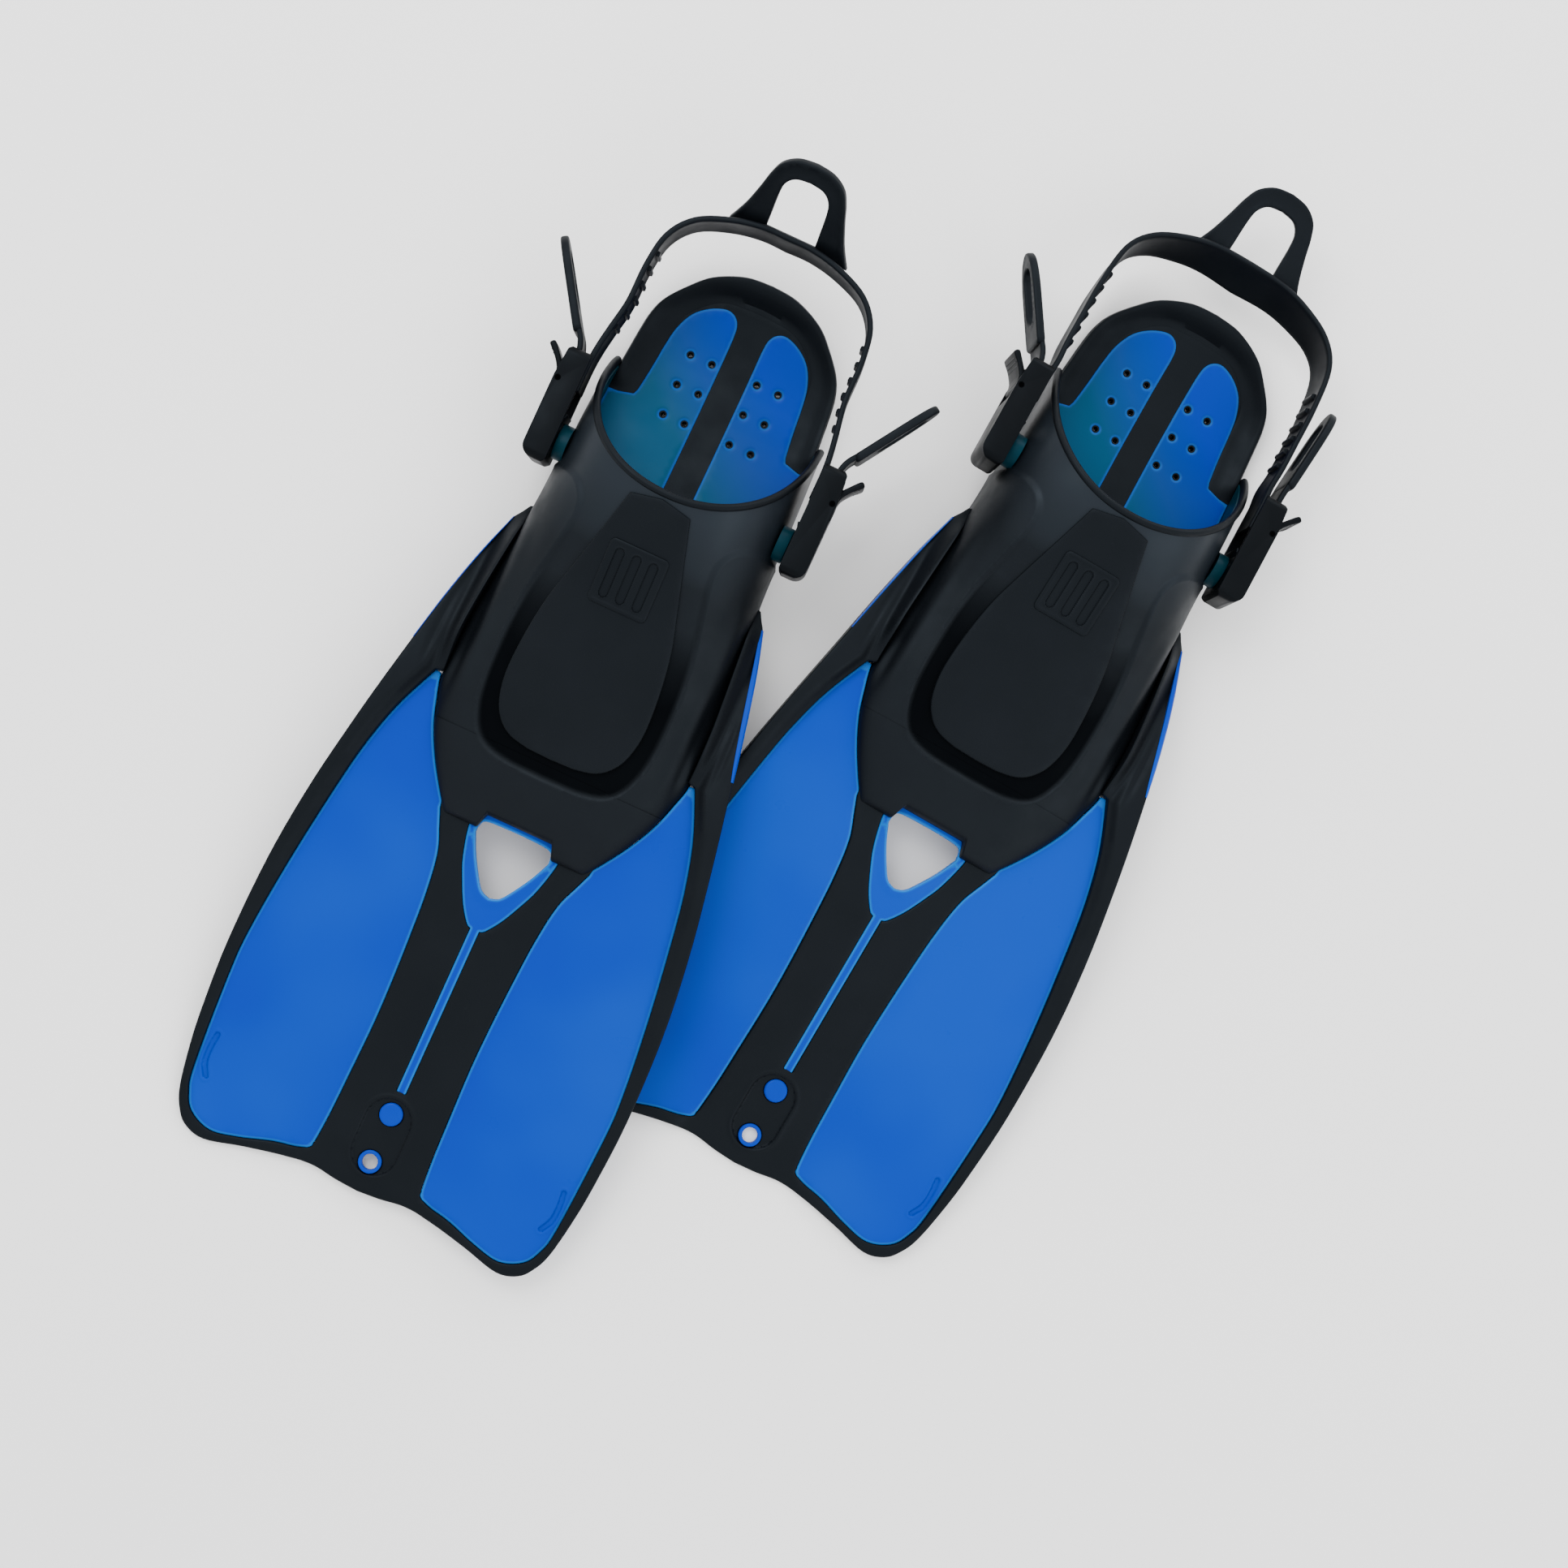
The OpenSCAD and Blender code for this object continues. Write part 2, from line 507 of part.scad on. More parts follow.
// Middle line of one side of the strap, from the buckle round to the heel; `arm` is how far the
// arms stand from the fin's middle, `heel` is where the band passes behind the heel
function strap_line(arm, heel) = smooth([
    [strap_x, pivot_y + inner_start], [strap_x, real_y(420)], [strap_x - 0.8, real_y(430)],
    [(strap_x + arm) / 2, real_y(441)], [arm, real_y(456)], [arm - 0.4, real_y(475)],
    [arm - 3.5, heel - 22], [arm - 13, heel - 10], [arm - 29, heel - 3], [arm - 44, heel],
    [0, heel]], 2);
module heel_strap(arm, heel, lean) {
    half = strap_line(arm, heel);
    line = concat(half, [for (i = [len(half) - 2 : -1 : 0]) [-half[i][0], half[i][1]]]);
    n = len(line);
    side = [for (p = half) if (p[1] < heel - 12) [p[1], p[0]]];
    function way(i) = let(d = line[min(n - 1, i + 1)] - line[max(0, i - 1)]) d / norm(d);
    function tilt(i) = lean * pow(max(0, 1 - abs(line[i][0]) / arm), 0.7);
    function ring(c, rise, off) = [for (k = [[-1, -1], [-1, 1], [1, 1], [1, -1]])
        c + rise * k[0] * strap_w / 2 + off * k[1] * strap_t / 2];
    color(black) translate([0, 0, pivot_z]) {
        bar([for (i = [0 : n - 1]) let(w = way(i), out = [w[1], -w[0], 0], up = [0, 0, 1], a = tilt(i))
            ring([line[i][0], line[i][1], 0], cos(a) * up + sin(a) * out, cos(a) * out - sin(a) * up)]);
        both() for (i = [0 : 5]) let(y = real_y(441) + i * tooth_pitch)
            translate([lookup(y, side) - strap_t / 2 - tooth_h, y, -strap_w / 2 + 4])
                cube([tooth_h + strap_t / 2, tooth_l, strap_w - 8]);
    }
}
module pull_loop(lift, out_y) color(black)
    translate([0, out_y, pivot_z]) rotate([lift, 0, 0]) translate([0, 0, -2.2]) linear_extrude(4.4) {
        difference() {
            polygon(both_sides(smooth([[0, loop_len], [9, loop_len - 1.5], [16, loop_len - 6.5],
                [19.5, loop_len - 14], [22, 24], [25.5, 13], [29, 5], [31, 1]], 2)));
            polygon(both_sides(smooth([[0, loop_len - 10], [7, loop_len - 11.3],
                [11, loop_len - 15.5], [12.3, loop_len - 22], [12.6, 13], [12.8, 4.5]], 2)));
        }
    }
tail_w = strap_w + 2;
grip_t = 4.8;
grip_start = 8;
tail_grip_l = tail_len - grip_start;
finger_w = 12;
finger_end = 8;
module tail(angle) {
    start = [tail_x, bar_y + travel / 2 + gap];
    bend = [tail_x, buckle_front + buckle_len + 1];
    along = [sin(angle), cos(angle)];
    facing = [cos(angle), -sin(angle)];
    corner = strap_t / 2 * ([1, 0] + facing) / (1 + facing[0]);
    side = [strap_t / 2, 0];
    end = bend + along * (grip_start + 1);
    color(black) at_pivot() {
        translate([0, 0, -strap_w / 2]) linear_extrude(strap_w) polygon([start - side, start + side,
            bend + corner, end + facing * strap_t / 2, end - facing * strap_t / 2, bend - corner]);
        translate([bend[0], bend[1], 0]) rotate([0, 0, -angle])
            translate([-strap_t / 2 - 0.1, grip_start, 0]) rotate([90, 0, 90]) linear_extrude(grip_t)
                difference() {
                    translate([tail_grip_l / 2, 0]) rounded(tail_grip_l, tail_w, 9);
                    translate([tail_grip_l - finger_end - finger_l / 2, 0]) rotate(90)
                        slot(finger_w, finger_l);
                }
    }
}

// ---- The two fins ----
// Each fin's strap lies as it was left: its rest angle, its lean at the heel, the bow of its arms,
// how far the band stands behind the heel plate, and the splay of its tails
function swing_angle(f) = f == "right" ? -5 : 3;
function band_lean(f) = f == "right" ? 30 : 5;
function arm_half(f) = (f == "right" ? 62 : 57) * kf;
function band_y(f) = real_y(heel_end) + band_gap + (f == "right" ? 5 : 0);
function tail_angle(f, side) = f == "right" && side == "outer" ? 5 : 33;
loop_angle = 50;
function sign_of(f, side) = (f == "right" ? 1 : -1) * (side == "outer" ? 1 : -1);
module on_side(s) if (s < 0) mirror([1, 0, 0]) children(); else children();
module swung(f) at_pivot() rotate([swing_angle(f), 0, 0]) translate([0, -pivot_y, -pivot_z]) children();

// The fins point a little apart. The left fin's left tip and heel stand on the floor, and its right
// edge lies on the right fin's left rail, which rolls it by left_roll.
yaw = 2.45;
apart = [160.5 * kx, real_y(95)];
cross_x = 84 * kx;
tip_x = 88 * kx;
tip_rise = (tip_x - flat_half) * tan(dihedral) + rail_bottom(0);
wide_blade_rise = 10 * (kx - 1);
cross_rise = rail_top(186) - rail_bottom(285) + 9 * kx * tan(dihedral) + wide_blade_rise + gap;
left_roll = asin((cross_rise + tip_rise) / (cross_x + tip_x));
left_lift = max(tip_x * sin(left_roll) - tip_rise,
    pocket_half(wall_end) * sin(left_roll) - sole_bottom(wall_end));
// From the middle of the pair to the right fin's tip
middle = [87.1 * kx, real_y(232.8)];
module placed(f) translate([middle[0], -middle[1], 0])
    if (f == "right") rotate([0, 0, -yaw]) children();
    else translate([-apart[0], -apart[1], left_lift]) rotate([0, -left_roll, yaw]) children();

module fin(f) placed(f) {
    blade_panels();
    vent_frame();
    spine();
    side_rails();
    tip_edge();
    hang_ring();
    tip_inlay();
    toe_cap();
    foot_pocket();
    instep_panel();
    grip_block();
    opening_rim();
    footbed();
    footbed_stripe();
    sole();
    heel_border();
    tread();
    swivel_posts();
    swivel_rivets();
    swung(f) strap_bars();
    swung(f) strap_turns();
    swung(f) lever_pins();
    swung(f) heel_strap(arm_half(f), band_y(f), band_lean(f));
    swung(f) pull_loop(loop_angle - band_lean(f), band_y(f));
    for (side = ["outer", "inner"]) {
        swung(f) on_side(sign_of(f, side)) buckle();
        swung(f) on_side(sign_of(f, side)) lever();
        swung(f) on_side(sign_of(f, side)) tail(tail_angle(f, side));
    }
}
fin("right");
fin("left");
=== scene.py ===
import json
import math

import bmesh
import bpy
import numpy as np
from mathutils import Matrix, Vector
from mathutils.geometry import delaunay_2d_cdt


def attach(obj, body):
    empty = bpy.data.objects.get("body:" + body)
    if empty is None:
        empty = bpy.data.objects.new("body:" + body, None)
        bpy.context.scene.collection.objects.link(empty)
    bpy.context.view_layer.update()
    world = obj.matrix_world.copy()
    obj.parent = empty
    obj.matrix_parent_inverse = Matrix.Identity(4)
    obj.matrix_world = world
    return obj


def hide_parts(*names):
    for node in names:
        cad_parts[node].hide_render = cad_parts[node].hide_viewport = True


# A pair of swim fins. Shapes are worked out in millimetres in a fin's own frame, X across, Y from the
# blade's tip to the heel, Z up, and placed by the frame's strap hinge and hanging hole.
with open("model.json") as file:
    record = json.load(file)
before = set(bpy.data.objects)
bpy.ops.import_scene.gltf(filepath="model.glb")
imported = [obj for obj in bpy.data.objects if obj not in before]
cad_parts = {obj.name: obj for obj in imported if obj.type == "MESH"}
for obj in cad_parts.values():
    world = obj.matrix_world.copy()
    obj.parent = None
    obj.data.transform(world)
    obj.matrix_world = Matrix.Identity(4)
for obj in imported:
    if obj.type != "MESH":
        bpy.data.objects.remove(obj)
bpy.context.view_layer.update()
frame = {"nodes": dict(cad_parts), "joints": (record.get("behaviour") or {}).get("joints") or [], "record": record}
MM = 0.001
FINS = ("right", "left")

# ---- Sizes, in millimetres ----
TOE, SOLE_START, WALL_END = 196, 236, 436
TIP_T, ROOT_T, SPINE_PROUD = 2.2, 4.4, 0.9
FLAT_HALF, DIHEDRAL = 27, math.radians(3.2)
HANG_Y, HANG_R, RING_W = 23.5, 3.9, 1.9
INLAY_Y, INLAY_R = 49.3, 5.8
WALL, LIP_H, INSTEP_H, RIM_R = 3.4, 6, 84, 1.9
TREAD_T, SOLE_T, FOOTBED_T, STRIPE_HALF, DRAIN_R = 1.5, 4, 2.5, 7.8, 1.9
DOME_N = 2.6
PIVOT = Vector((0, 381.5, 42))
STRAP_W, STRAP_T, TOOTH_H, TOOTH_PITCH = 22, 2.8, 1.6, 8
BAR_R, BAR_Y, TRAVEL, GAP = 1.7, 12.5, 12, 0.35
BUCKLE_FRONT, BUCKLE_LEN = -13.5, 57
LOOP_LEN, TAIL_LEN, TAIL_T, GRIP_START = 47, 56, 4.8, 8
# How each strap lies: its rest angle, lean at the heel, half-width between its arms, heel position
SWING = {"right": -5, "left": 3}
LEAN = {"right": 30, "left": 5}
ARM = {"right": 62, "left": 57}
BAND_Y = {"right": 519, "left": 514}
LOOP_ANGLE = 50
SIDE = {("right", "outer"): 1, ("right", "inner"): -1, ("left", "outer"): -1, ("left", "inner"): 1}
TAIL_ANGLE = {("right", "outer"): 5}
TAIL_ANGLE_REST = 33
# Edges that bend more than SHARP stay sharp; FAR_FROM_EDGE stands for an unmeasured distance to an edge
SHARP = math.radians(38)
FAR_FROM_EDGE = 9.0


# ---- Curves ----
def curve(points, x):
    """Smooth curve through the points, read at x."""
    px, py = np.array(points, float).T
    x = np.clip(np.asarray(x, float), px[0], px[-1])
    i = np.clip(np.searchsorted(px, x, side="right") - 1, 0, len(px) - 2)
    before = np.maximum(np.arange(len(px)) - 1, 0)
    after = np.minimum(np.arange(len(px)) + 1, len(px) - 1)
    slope = (py[after] - py[before]) / (px[after] - px[before])
    h = px[i + 1] - px[i]
    t = (x - px[i]) / h
    return ((2 * t**3 - 3 * t**2 + 1) * py[i] + (t**3 - 2 * t**2 + t) * h * slope[i]
            + (3 * t**2 - 2 * t**3) * py[i + 1] + (t**3 - t**2) * h * slope[i + 1])


def smooth(points, n):
    """Smooth open path through the points, n steps to each span."""
    p = np.array(points, float)
    rows = []
    for i in range(len(p) - 1):
        a, b, c, d = p[max(0, i - 1)], p[i], p[i + 1], p[min(len(p) - 1, i + 2)]
        for j in range(n):
            t = j / n
            rows.append(0.5 * (2 * b + (c - a) * t + (2 * a - 5 * b + 4 * c - d) * t**2
                               + (3 * b - a - 3 * c + d) * t**3))
    return np.array(rows + [p[-1]])


def both_sides(path):
    return np.concatenate([path, np.array(path)[::-1] * (-1, 1)])


def step(x, start, end):
    """0 before start, 1 after end, and smooth between."""
    t = np.clip((np.asarray(x, float) - start) / (end - start), 0, 1)
    return t * t * (3 - 2 * t)


def bump(x, centre, width):
    return np.exp(-((np.asarray(x, float) - centre) / width) ** 2)


def circle(x, y, r, n=40):
    t = np.linspace(0, 2 * math.pi, n, endpoint=False)
    return np.stack([x + r * np.cos(t), y + r * np.sin(t)], axis=1)


# ---- Heights and half-widths along the fin ----
def arch(y):
    return TIP_T + curve([(0, -0.3), (24, 1.5), (62, 6.3), (110, 12.2), (149, 17.1), (195, 22.8),
                          (235, 26.4), (262, 27.6), (300, 26.5), (345, 21)], y)


def blade_t(y):
    return TIP_T + (ROOT_T - TIP_T) * np.minimum(1, np.asarray(y) / TOE)


def spine_top(y):
    return arch(y) + SPINE_PROUD * np.minimum(1, (np.asarray(y) + 12) / 40)


def spine_bottom(y):
    return arch(y) - blade_t(y) - SPINE_PROUD / 2 * np.minimum(1, np.asarray(y) / 40)


def rail_top(y):
    return arch(y) + curve([(0, 0.8), (30, 2.2), (100, 3), (200, 6), (250, 8), (300, 7), (345, 2)], y)


def rail_bottom(y):
    return arch(y) - blade_t(y) - curve([(0, 0), (30, 0.4), (100, 1.2), (200, 3.6), (250, 5), (300, 5),
                                         (345, 2)], y)


def sole_bottom(y):
    return TREAD_T + np.maximum(0, curve([(236, 19), (262, 18.5), (300, 15.2), (340, 10.4), (380, 5),
                                          (414, 0.9), (428, 0), (446, 0), (460, 1.2), (475, 4), (487, 7),
                                          (499, 10.5)], y))


def footbed_bottom(y):
    return sole_bottom(y) + SOLE_T


def footbed_top(y):
    return footbed_bottom(y) + FOOTBED_T


LIP_Z = float(arch(TOE)) + LIP_H


def pocket_top(y):
    return LIP_Z + (INSTEP_H - LIP_Z) * curve([(196, 0), (204, 0.06), (230, 0.2), (250, 0.27),
                                               (280, 0.39), (317, 0.565), (347, 0.77), (374, 0.97),
                                               (400, 1.06), (436, 1.1)], y)


def pocket_half(y):
    return curve([(196, 37), (204, 43), (218, 52), (232, 59), (246, 63.6), (256, 66), (280, 66.3),
                  (300, 65), (340, 61.5), (360, 60), (400, 58.7), (436, 57)], y)


def spine_half(y):
    return curve([(0, 31), (32, 27.8), (60, 26.7), (88, 26), (110, 26.4), (135, 27.5), (157, 29),
                  (177, 32), (190, 37), (200, 41)], y)


def dome_base(y):
    """Height at which the pocket's dome springs from the blade or the footbed."""
    blend = step(y, 226, 240)
    return arch(y) * (1 - blend) + footbed_top(y) * blend


def dome_z(x, y):
    reach = np.clip(1 - (np.abs(x) / pocket_half(y)) ** DOME_N, 0, 1)
    return dome_base(y) + (pocket_top(y) - dome_base(y)) * reach ** (1 / DOME_N)


def rim_y(a):
    """Where the foot opening's edge lies at angle a, in degrees from the top."""
    return 375 + (WALL_END - 375) * (np.abs(a) / 90) ** 1.68


def tilted(height):
    """The same height on a side of the blade that rises outwards by the dihedral."""
    return lambda x, y: (height(y) / math.cos(DIHEDRAL)
                         + np.maximum(np.abs(x) - FLAT_HALF, 0) * math.tan(DIHEDRAL))


# ---- Placing ----
def fin_matrix(fin):
    """From the fin's own millimetres to the frame's metres."""
    hinge = next(j for j in frame["joints"] if j["name"] == fin + "_strap_swing")
    hole = next(m for m in frame["record"]["mounts"] if m["name"] == fin + "_hang_hole")
    x = Vector(hinge["axis"]).normalized()
    z = Vector(hole["axis"]).normalized()
    turn = Matrix((x, z.cross(x), z)).transposed()
    origin = Vector(hinge["pos_m"]) - turn @ (PIVOT * MM)
    return Matrix.Translation(origin) @ turn.to_4x4() @ Matrix.Scale(MM, 4)


def swung_matrix(fin):
    """The same for what swings with the strap."""
    turn = Matrix.Rotation(math.radians(SWING[fin]), 4, "X")
    return fin_matrix(fin) @ Matrix.Translation(PIVOT) @ turn @ Matrix.Translation(-PIVOT)


# ---- Mesh builders ----
def add_skin(name, part, matrix, material, body, nodes=()):
    """A piece from vertices, faces and each vertex's distance to an edge; it replaces the CAD nodes."""
    verts, faces, edge = part
    mesh = bpy.data.meshes.new(name)
    mesh.from_pydata([matrix @ Vector(v) for v in verts], [], [list(f) for f in faces])
    bm = bmesh.new()
    bm.from_mesh(mesh)
    bmesh.ops.recalc_face_normals(bm, faces=bm.faces)
    shade_smooth(bm, mesh, SHARP)
    add_layer(mesh, "edge_mm", np.full(len(verts), FAR_FROM_EDGE) if edge is None else edge)
    # Painted shade: the footbed's colour is darkened and greened forwards and to one side, where the pocket shades
    # it
    add_layer(mesh, "shade", [v[1] + 0.9 * v[0] for v in verts])
    add_piece(name, mesh, material, body, nodes)


def shade_smooth(bm, mesh, sharp):
    """Writes bm to the mesh, shaded smooth except across edges that bend by the angle or more."""
    for face in bm.faces:
        face.smooth = True
    for line in bm.edges:
        line.smooth = line.calc_face_angle(0) < sharp
    bm.to_mesh(mesh)
    bm.free()


def add_layer(mesh, name, values):
    layer = mesh.attributes.new(name, "FLOAT", "POINT")
    layer.data.foreach_set("value", np.array(values, float))


def add_piece(name, mesh, material, body, nodes):
    piece = bpy.data.objects.new(name, mesh)
    bpy.context.scene.collection.objects.link(piece)
    mesh.materials.clear()
    mesh.materials.append(material)
    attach(piece, body)
    if nodes:
        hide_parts(*nodes)


def subdivided(ring, spacing):
    ring = np.array(ring, float)
    rows = []
    for a, b in zip(ring, np.roll(ring, -1, axis=0)):
        n = max(1, math.ceil(np.linalg.norm(b - a) / spacing))
        if np.linalg.norm(b - a) > 1e-6:
            rows += [a + (b - a) * k / n for k in range(n)]
    return np.array(rows)


def is_inside(points, ring):
    x, y = points[:, 0, None], points[:, 1, None]
    a, b = ring, np.roll(ring, -1, axis=0)
    rising = (a[:, 1] > y) != (b[:, 1] > y)
    with np.errstate(divide="ignore", invalid="ignore"):
        cross = a[:, 0] + (y - a[:, 1]) * (b[:, 0] - a[:, 0]) / (b[:, 1] - a[:, 1])
    return np.sum(rising & (x < cross), axis=1) % 2 == 1


def between(points, rings):
    """Which points lie inside the first ring and outside the others."""
    keep = is_inside(points, rings[0])
    for hole in rings[1:]:
        keep &= ~is_inside(points, hole)
    return keep


def distance_to(points, rings, closed=True):
    """Distance from each point to the nearest of the rings."""
    best = np.full(len(points), 1e9)
    for ring in rings:
        ring = np.array(ring, float)
        a = ring if closed else ring[:-1]
        b = np.roll(ring, -1, axis=0) if closed else ring[1:]
        run = b - a
        length = np.maximum(np.sum(run * run, axis=1), 1e-12)
        for k in range(0, len(points), 2000):
            p = points[k:k + 2000, None, :]
            t = np.clip(np.sum((p - a) * run, axis=2) / length, 0, 1)
            d = np.sqrt(np.min(np.sum((a + t[..., None] * run - p) ** 2, axis=2), axis=1))
            best[k:k + 2000] = np.minimum(best[k:k + 2000], d)
    return best


def fill(rings, edge, pitch, spacing, dense):
    """Triangles over the area inside the first ring and outside the others, close together at edges."""
    rings = [subdivided(r, spacing) for r in rings]
    points, lines = [], []
    for ring in rings:
        first = len(points)
        points += list(ring)
        lines += [(first + k, first + (k + 1) % len(ring)) for k in range(len(ring))]
    inner = []
    for ring in rings:
        run = np.roll(ring, -1, axis=0) - np.roll(ring, 1, axis=0)
        normal = np.stack([-run[:, 1], run[:, 0]], axis=1)
        normal /= np.maximum(np.linalg.norm(normal, axis=1), 1e-9)[:, None]
        for share in (0.094, 0.357, 1.0):
            for side in (-1, 1):
                moved = ring + side * share * edge * normal
                inner.append(moved[distance_to(moved, rings) > 0.9 * share * edge])
    low, high = rings[0].min(axis=0), rings[0].max(axis=0)
    for x0, y0, x1, y1, size in [(*low, *high, pitch), *dense]:
        xs = np.arange(x0, x1, size)
        ys = np.arange(y0, y1, size * 0.87)
        grid = np.array([(x + (k % 2) * size / 2, y) for k, y in enumerate(ys) for x in xs])
        inner.append(grid[distance_to(grid, rings) > edge + 0.4 * size])
    inner = np.concatenate(inner)
    points = [Vector(p) for p in points] + [Vector(p) for p in inner[between(inner, rings)]]
    verts, _, faces, _, _, _ = delaunay_2d_cdt(points, lines, [], 0, 1e-5)
    verts = np.array([tuple(v) for v in verts])
    faces = np.array([f for f in faces if len(f) == 3])
    return verts, faces[between(verts[faces].mean(axis=1), rings)], distance_to(verts, rings)


def plate(rings, top, bottom, edge=0.8, pitch=3.0, spacing=1.6, dense=(), low_edge=None):
    """Closed plate with rounded edges between two heights, which are functions of x and y."""
    xy, tris, d = fill(rings, edge, pitch, spacing, dense)
    low_edge = edge if low_edge is None else low_edge

    def fall(radius):
        return radius - np.sqrt(np.maximum(radius**2 - (radius - np.minimum(d, radius)) ** 2, 0))

    x, y = xy.T
    upper = np.stack([x, y, top(x, y) - fall(edge)], axis=1)
    lower = np.stack([x, y, bottom(x, y) + fall(low_edge)], axis=1)
    n = len(xy)
    directed = {}
    for a, b, c in tris.tolist():
        for pair in ((a, b), (b, c), (c, a)):
            directed[pair] = True
    sides = [(a, b, b + n, a + n) for a, b in directed if (b, a) not in directed]
    faces = tris.tolist() + (tris[:, ::-1] + n).tolist() + sides
    return np.concatenate([upper, lower]), faces, np.concatenate([d, d])


def flat_plate(rings, low, high, **options):
    return plate(rings, lambda x, y: np.full(len(x), float(high)), lambda x, y: np.full(len(x), float(low)),
                 **options)


def loft(rings, closed=False):
    """Bar whose cross-sections are the rings, or a closed hoop of them."""
    rings = np.array(rings, float)
    n, m = rings.shape[:2]
    faces = []
    for i in range(n if closed else n - 1):
        a, b = i * m, ((i + 1) % n) * m
        faces += [(a + j, a + (j + 1) % m, b + (j + 1) % m, b + j) for j in range(m)]
    if not closed:
        faces += [list(range(m))[::-1], [(n - 1) * m + j for j in range(m)]]
    return rings.reshape(-1, 3), faces, None


def grid_shell(upper, lower):
    """Closed shell between two grids of points."""
    index = np.arange(upper[..., 0].size).reshape(upper.shape[:2])
    under = index + index.size
    quads = [(index[:-1, :-1], index[1:, :-1], index[1:, 1:], index[:-1, 1:]),
             (under[:-1, :-1], under[:-1, 1:], under[1:, 1:], under[1:, :-1])]
    for a, b in ((index, under), (under, index)):
        end = 0 if a is index else -1
        quads += [(a[:-1, end], b[:-1, end], b[1:, end], a[1:, end]),
                  (b[end, :-1], a[end, :-1], a[end, 1:], b[end, 1:])]
    faces = np.concatenate([np.stack([corner.ravel() for corner in quad], axis=1) for quad in quads])
    return np.concatenate([upper.reshape(-1, 3), lower.reshape(-1, 3)]), faces.tolist()


def lathe(profile, place, sides=48):
    """Turned piece: the profile gives radius and height, place moves it from the Z axis."""
    return moved(loft([[(*p, h) for p in circle(0, 0, r, sides)] for r, h in profile]), place)


def join(*parts):
    verts, faces, edge = [], [], []
    for v, f, d in parts:
        faces += [[k + len(verts) for k in face] for face in f]
        verts += [tuple(p) for p in v]
        edge += list(np.full(len(v), FAR_FROM_EDGE) if d is None else d)
    return verts, faces, edge


def mirrored(part):
    v, f, d = part
    return np.array(v) * (-1, 1, 1), [list(face)[::-1] for face in f], d


def paired(right):
    return join(right, mirrored(right))


def moved(part, place):
    v, f, d = part
    return np.array([tuple(place @ Vector(p)) for p in v]), f, d


# ---- Outlines ----
BLADE_EDGE = smooth([(0, 7.5), (12, 8.4), (25, 10.1), (40, 8.6), (60, 4.5), (79, 0), (90, 3), (96, 10),
                     (100, 20), (103.4, 40), (105.4, 60), (107, 95), (105.5, 140), (101, 180), (94, 220),
                     (86, 260), (80, 290), (73, 320), (66, 344)], 5)
FIELD = smooth([(31, 17), (37, 15), (48, 12.8), (64, 7.8), (78, 5.3), (89.4, 10), (94.8, 18.3),
                (97.8, 32), (100.3, 79), (100, 104), (95.6, 146), (88.6, 193), (84, 215.6), (78.3, 235),
                (69, 257)], 5)


def pocket_side(y0, y1, n, out=0.0):
    ys = np.linspace(y0, y1, n)
    return np.stack([pocket_half(ys) + out, ys], axis=1)


FIELD_SIDE = FIELD[FIELD[:, 1].argmin() + 4:]
FIELD_Y, FIELD_X = FIELD_SIDE[:, 1], FIELD_SIDE[:, 0]
VENT_TIP = smooth([(2.4, 149.4), (5, 150.8), (10.5, 158.6), (16, 169.7), (20, 179.4), (23.6, 194),
                   (24, 204)], 4)
VENT_HOLE = both_sides(np.concatenate([
    smooth([(0, 166.4), (5, 168.5), (10, 175.5), (15, 184), (19.4, 193.5)], 5),
    smooth([(19.3, 196), (18.2, 199), (15, 200.2), (8, 200.6), (0, 200.7)], 3)]))


PANEL_CORNER = smooth([(29.2, 21), (29.3, 18.6), (31, 17)], 4)[1:-1]


def panel_ring():
    """Outline of one blue panel."""
    side_ys = np.linspace(200, 21, 60)
    side = np.stack([spine_half(side_ys) + 0.15, side_ys], axis=1)
    pocket = pocket_side(256.5, 200, 26, out=0.1)
    return np.concatenate([FIELD, pocket, side[1:], PANEL_CORNER])


def frame_ring():
    """Outline of the blade's rubber: its edge, spine and rails, open where the panels and vent lie."""
    side = pocket_side(350, 258, 40, out=-1.2)
    spine_ys = np.linspace(21, 203, 70)
    spine_side = np.stack([spine_half(spine_ys), spine_ys], axis=1)
    tip = np.concatenate([[(24, 203)], VENT_TIP[:-1][::-1], [(2.4, 61.5)]])
    right = np.concatenate([BLADE_EDGE[1:-1], [(64.2, 345), (62, 349)], side, FIELD[::-1],
                            PANEL_CORNER[::-1], spine_side, tip])
    return np.concatenate([BLADE_EDGE[:1], right, right[::-1] * (-1, 1)])


# ---- Blade pieces ----
BADGE = np.array([(0, 29.0), (0, 45.5)])
BADGE_R = 12


def badge_recess(x, y):
    """Depth of the capsule-shaped recess around the hanging hole and the inlay."""
    d = distance_to(np.stack([x, y], axis=1), [BADGE], closed=False)
    return 1.1 * (1 - step(d, BADGE_R - 0.8, BADGE_R)) - 0.4 * bump(d, BADGE_R + 0.9, 0.8)


def blade_panels():
    mark = smooth([(93.4, 50), (94.2, 42), (93.6, 35), (90.6, 29)], 6)

    def top(x, y):
        near = distance_to(np.stack([np.abs(x), y], axis=1), [mark], closed=False)
        return tilted(arch)(x, y) - 1.1 * (1 - step(near, 0.9, 1.6)) + 0.3 * bump(near, 2.3, 0.7)

    def bottom(x, y):
        return tilted(lambda v: arch(v) - blade_t(v))(x, y)

    right = plate([panel_ring()], top, bottom, edge=0.8, pitch=3.2, dense=[(86, 24, 98, 56, 0.7)])
    return paired(right)


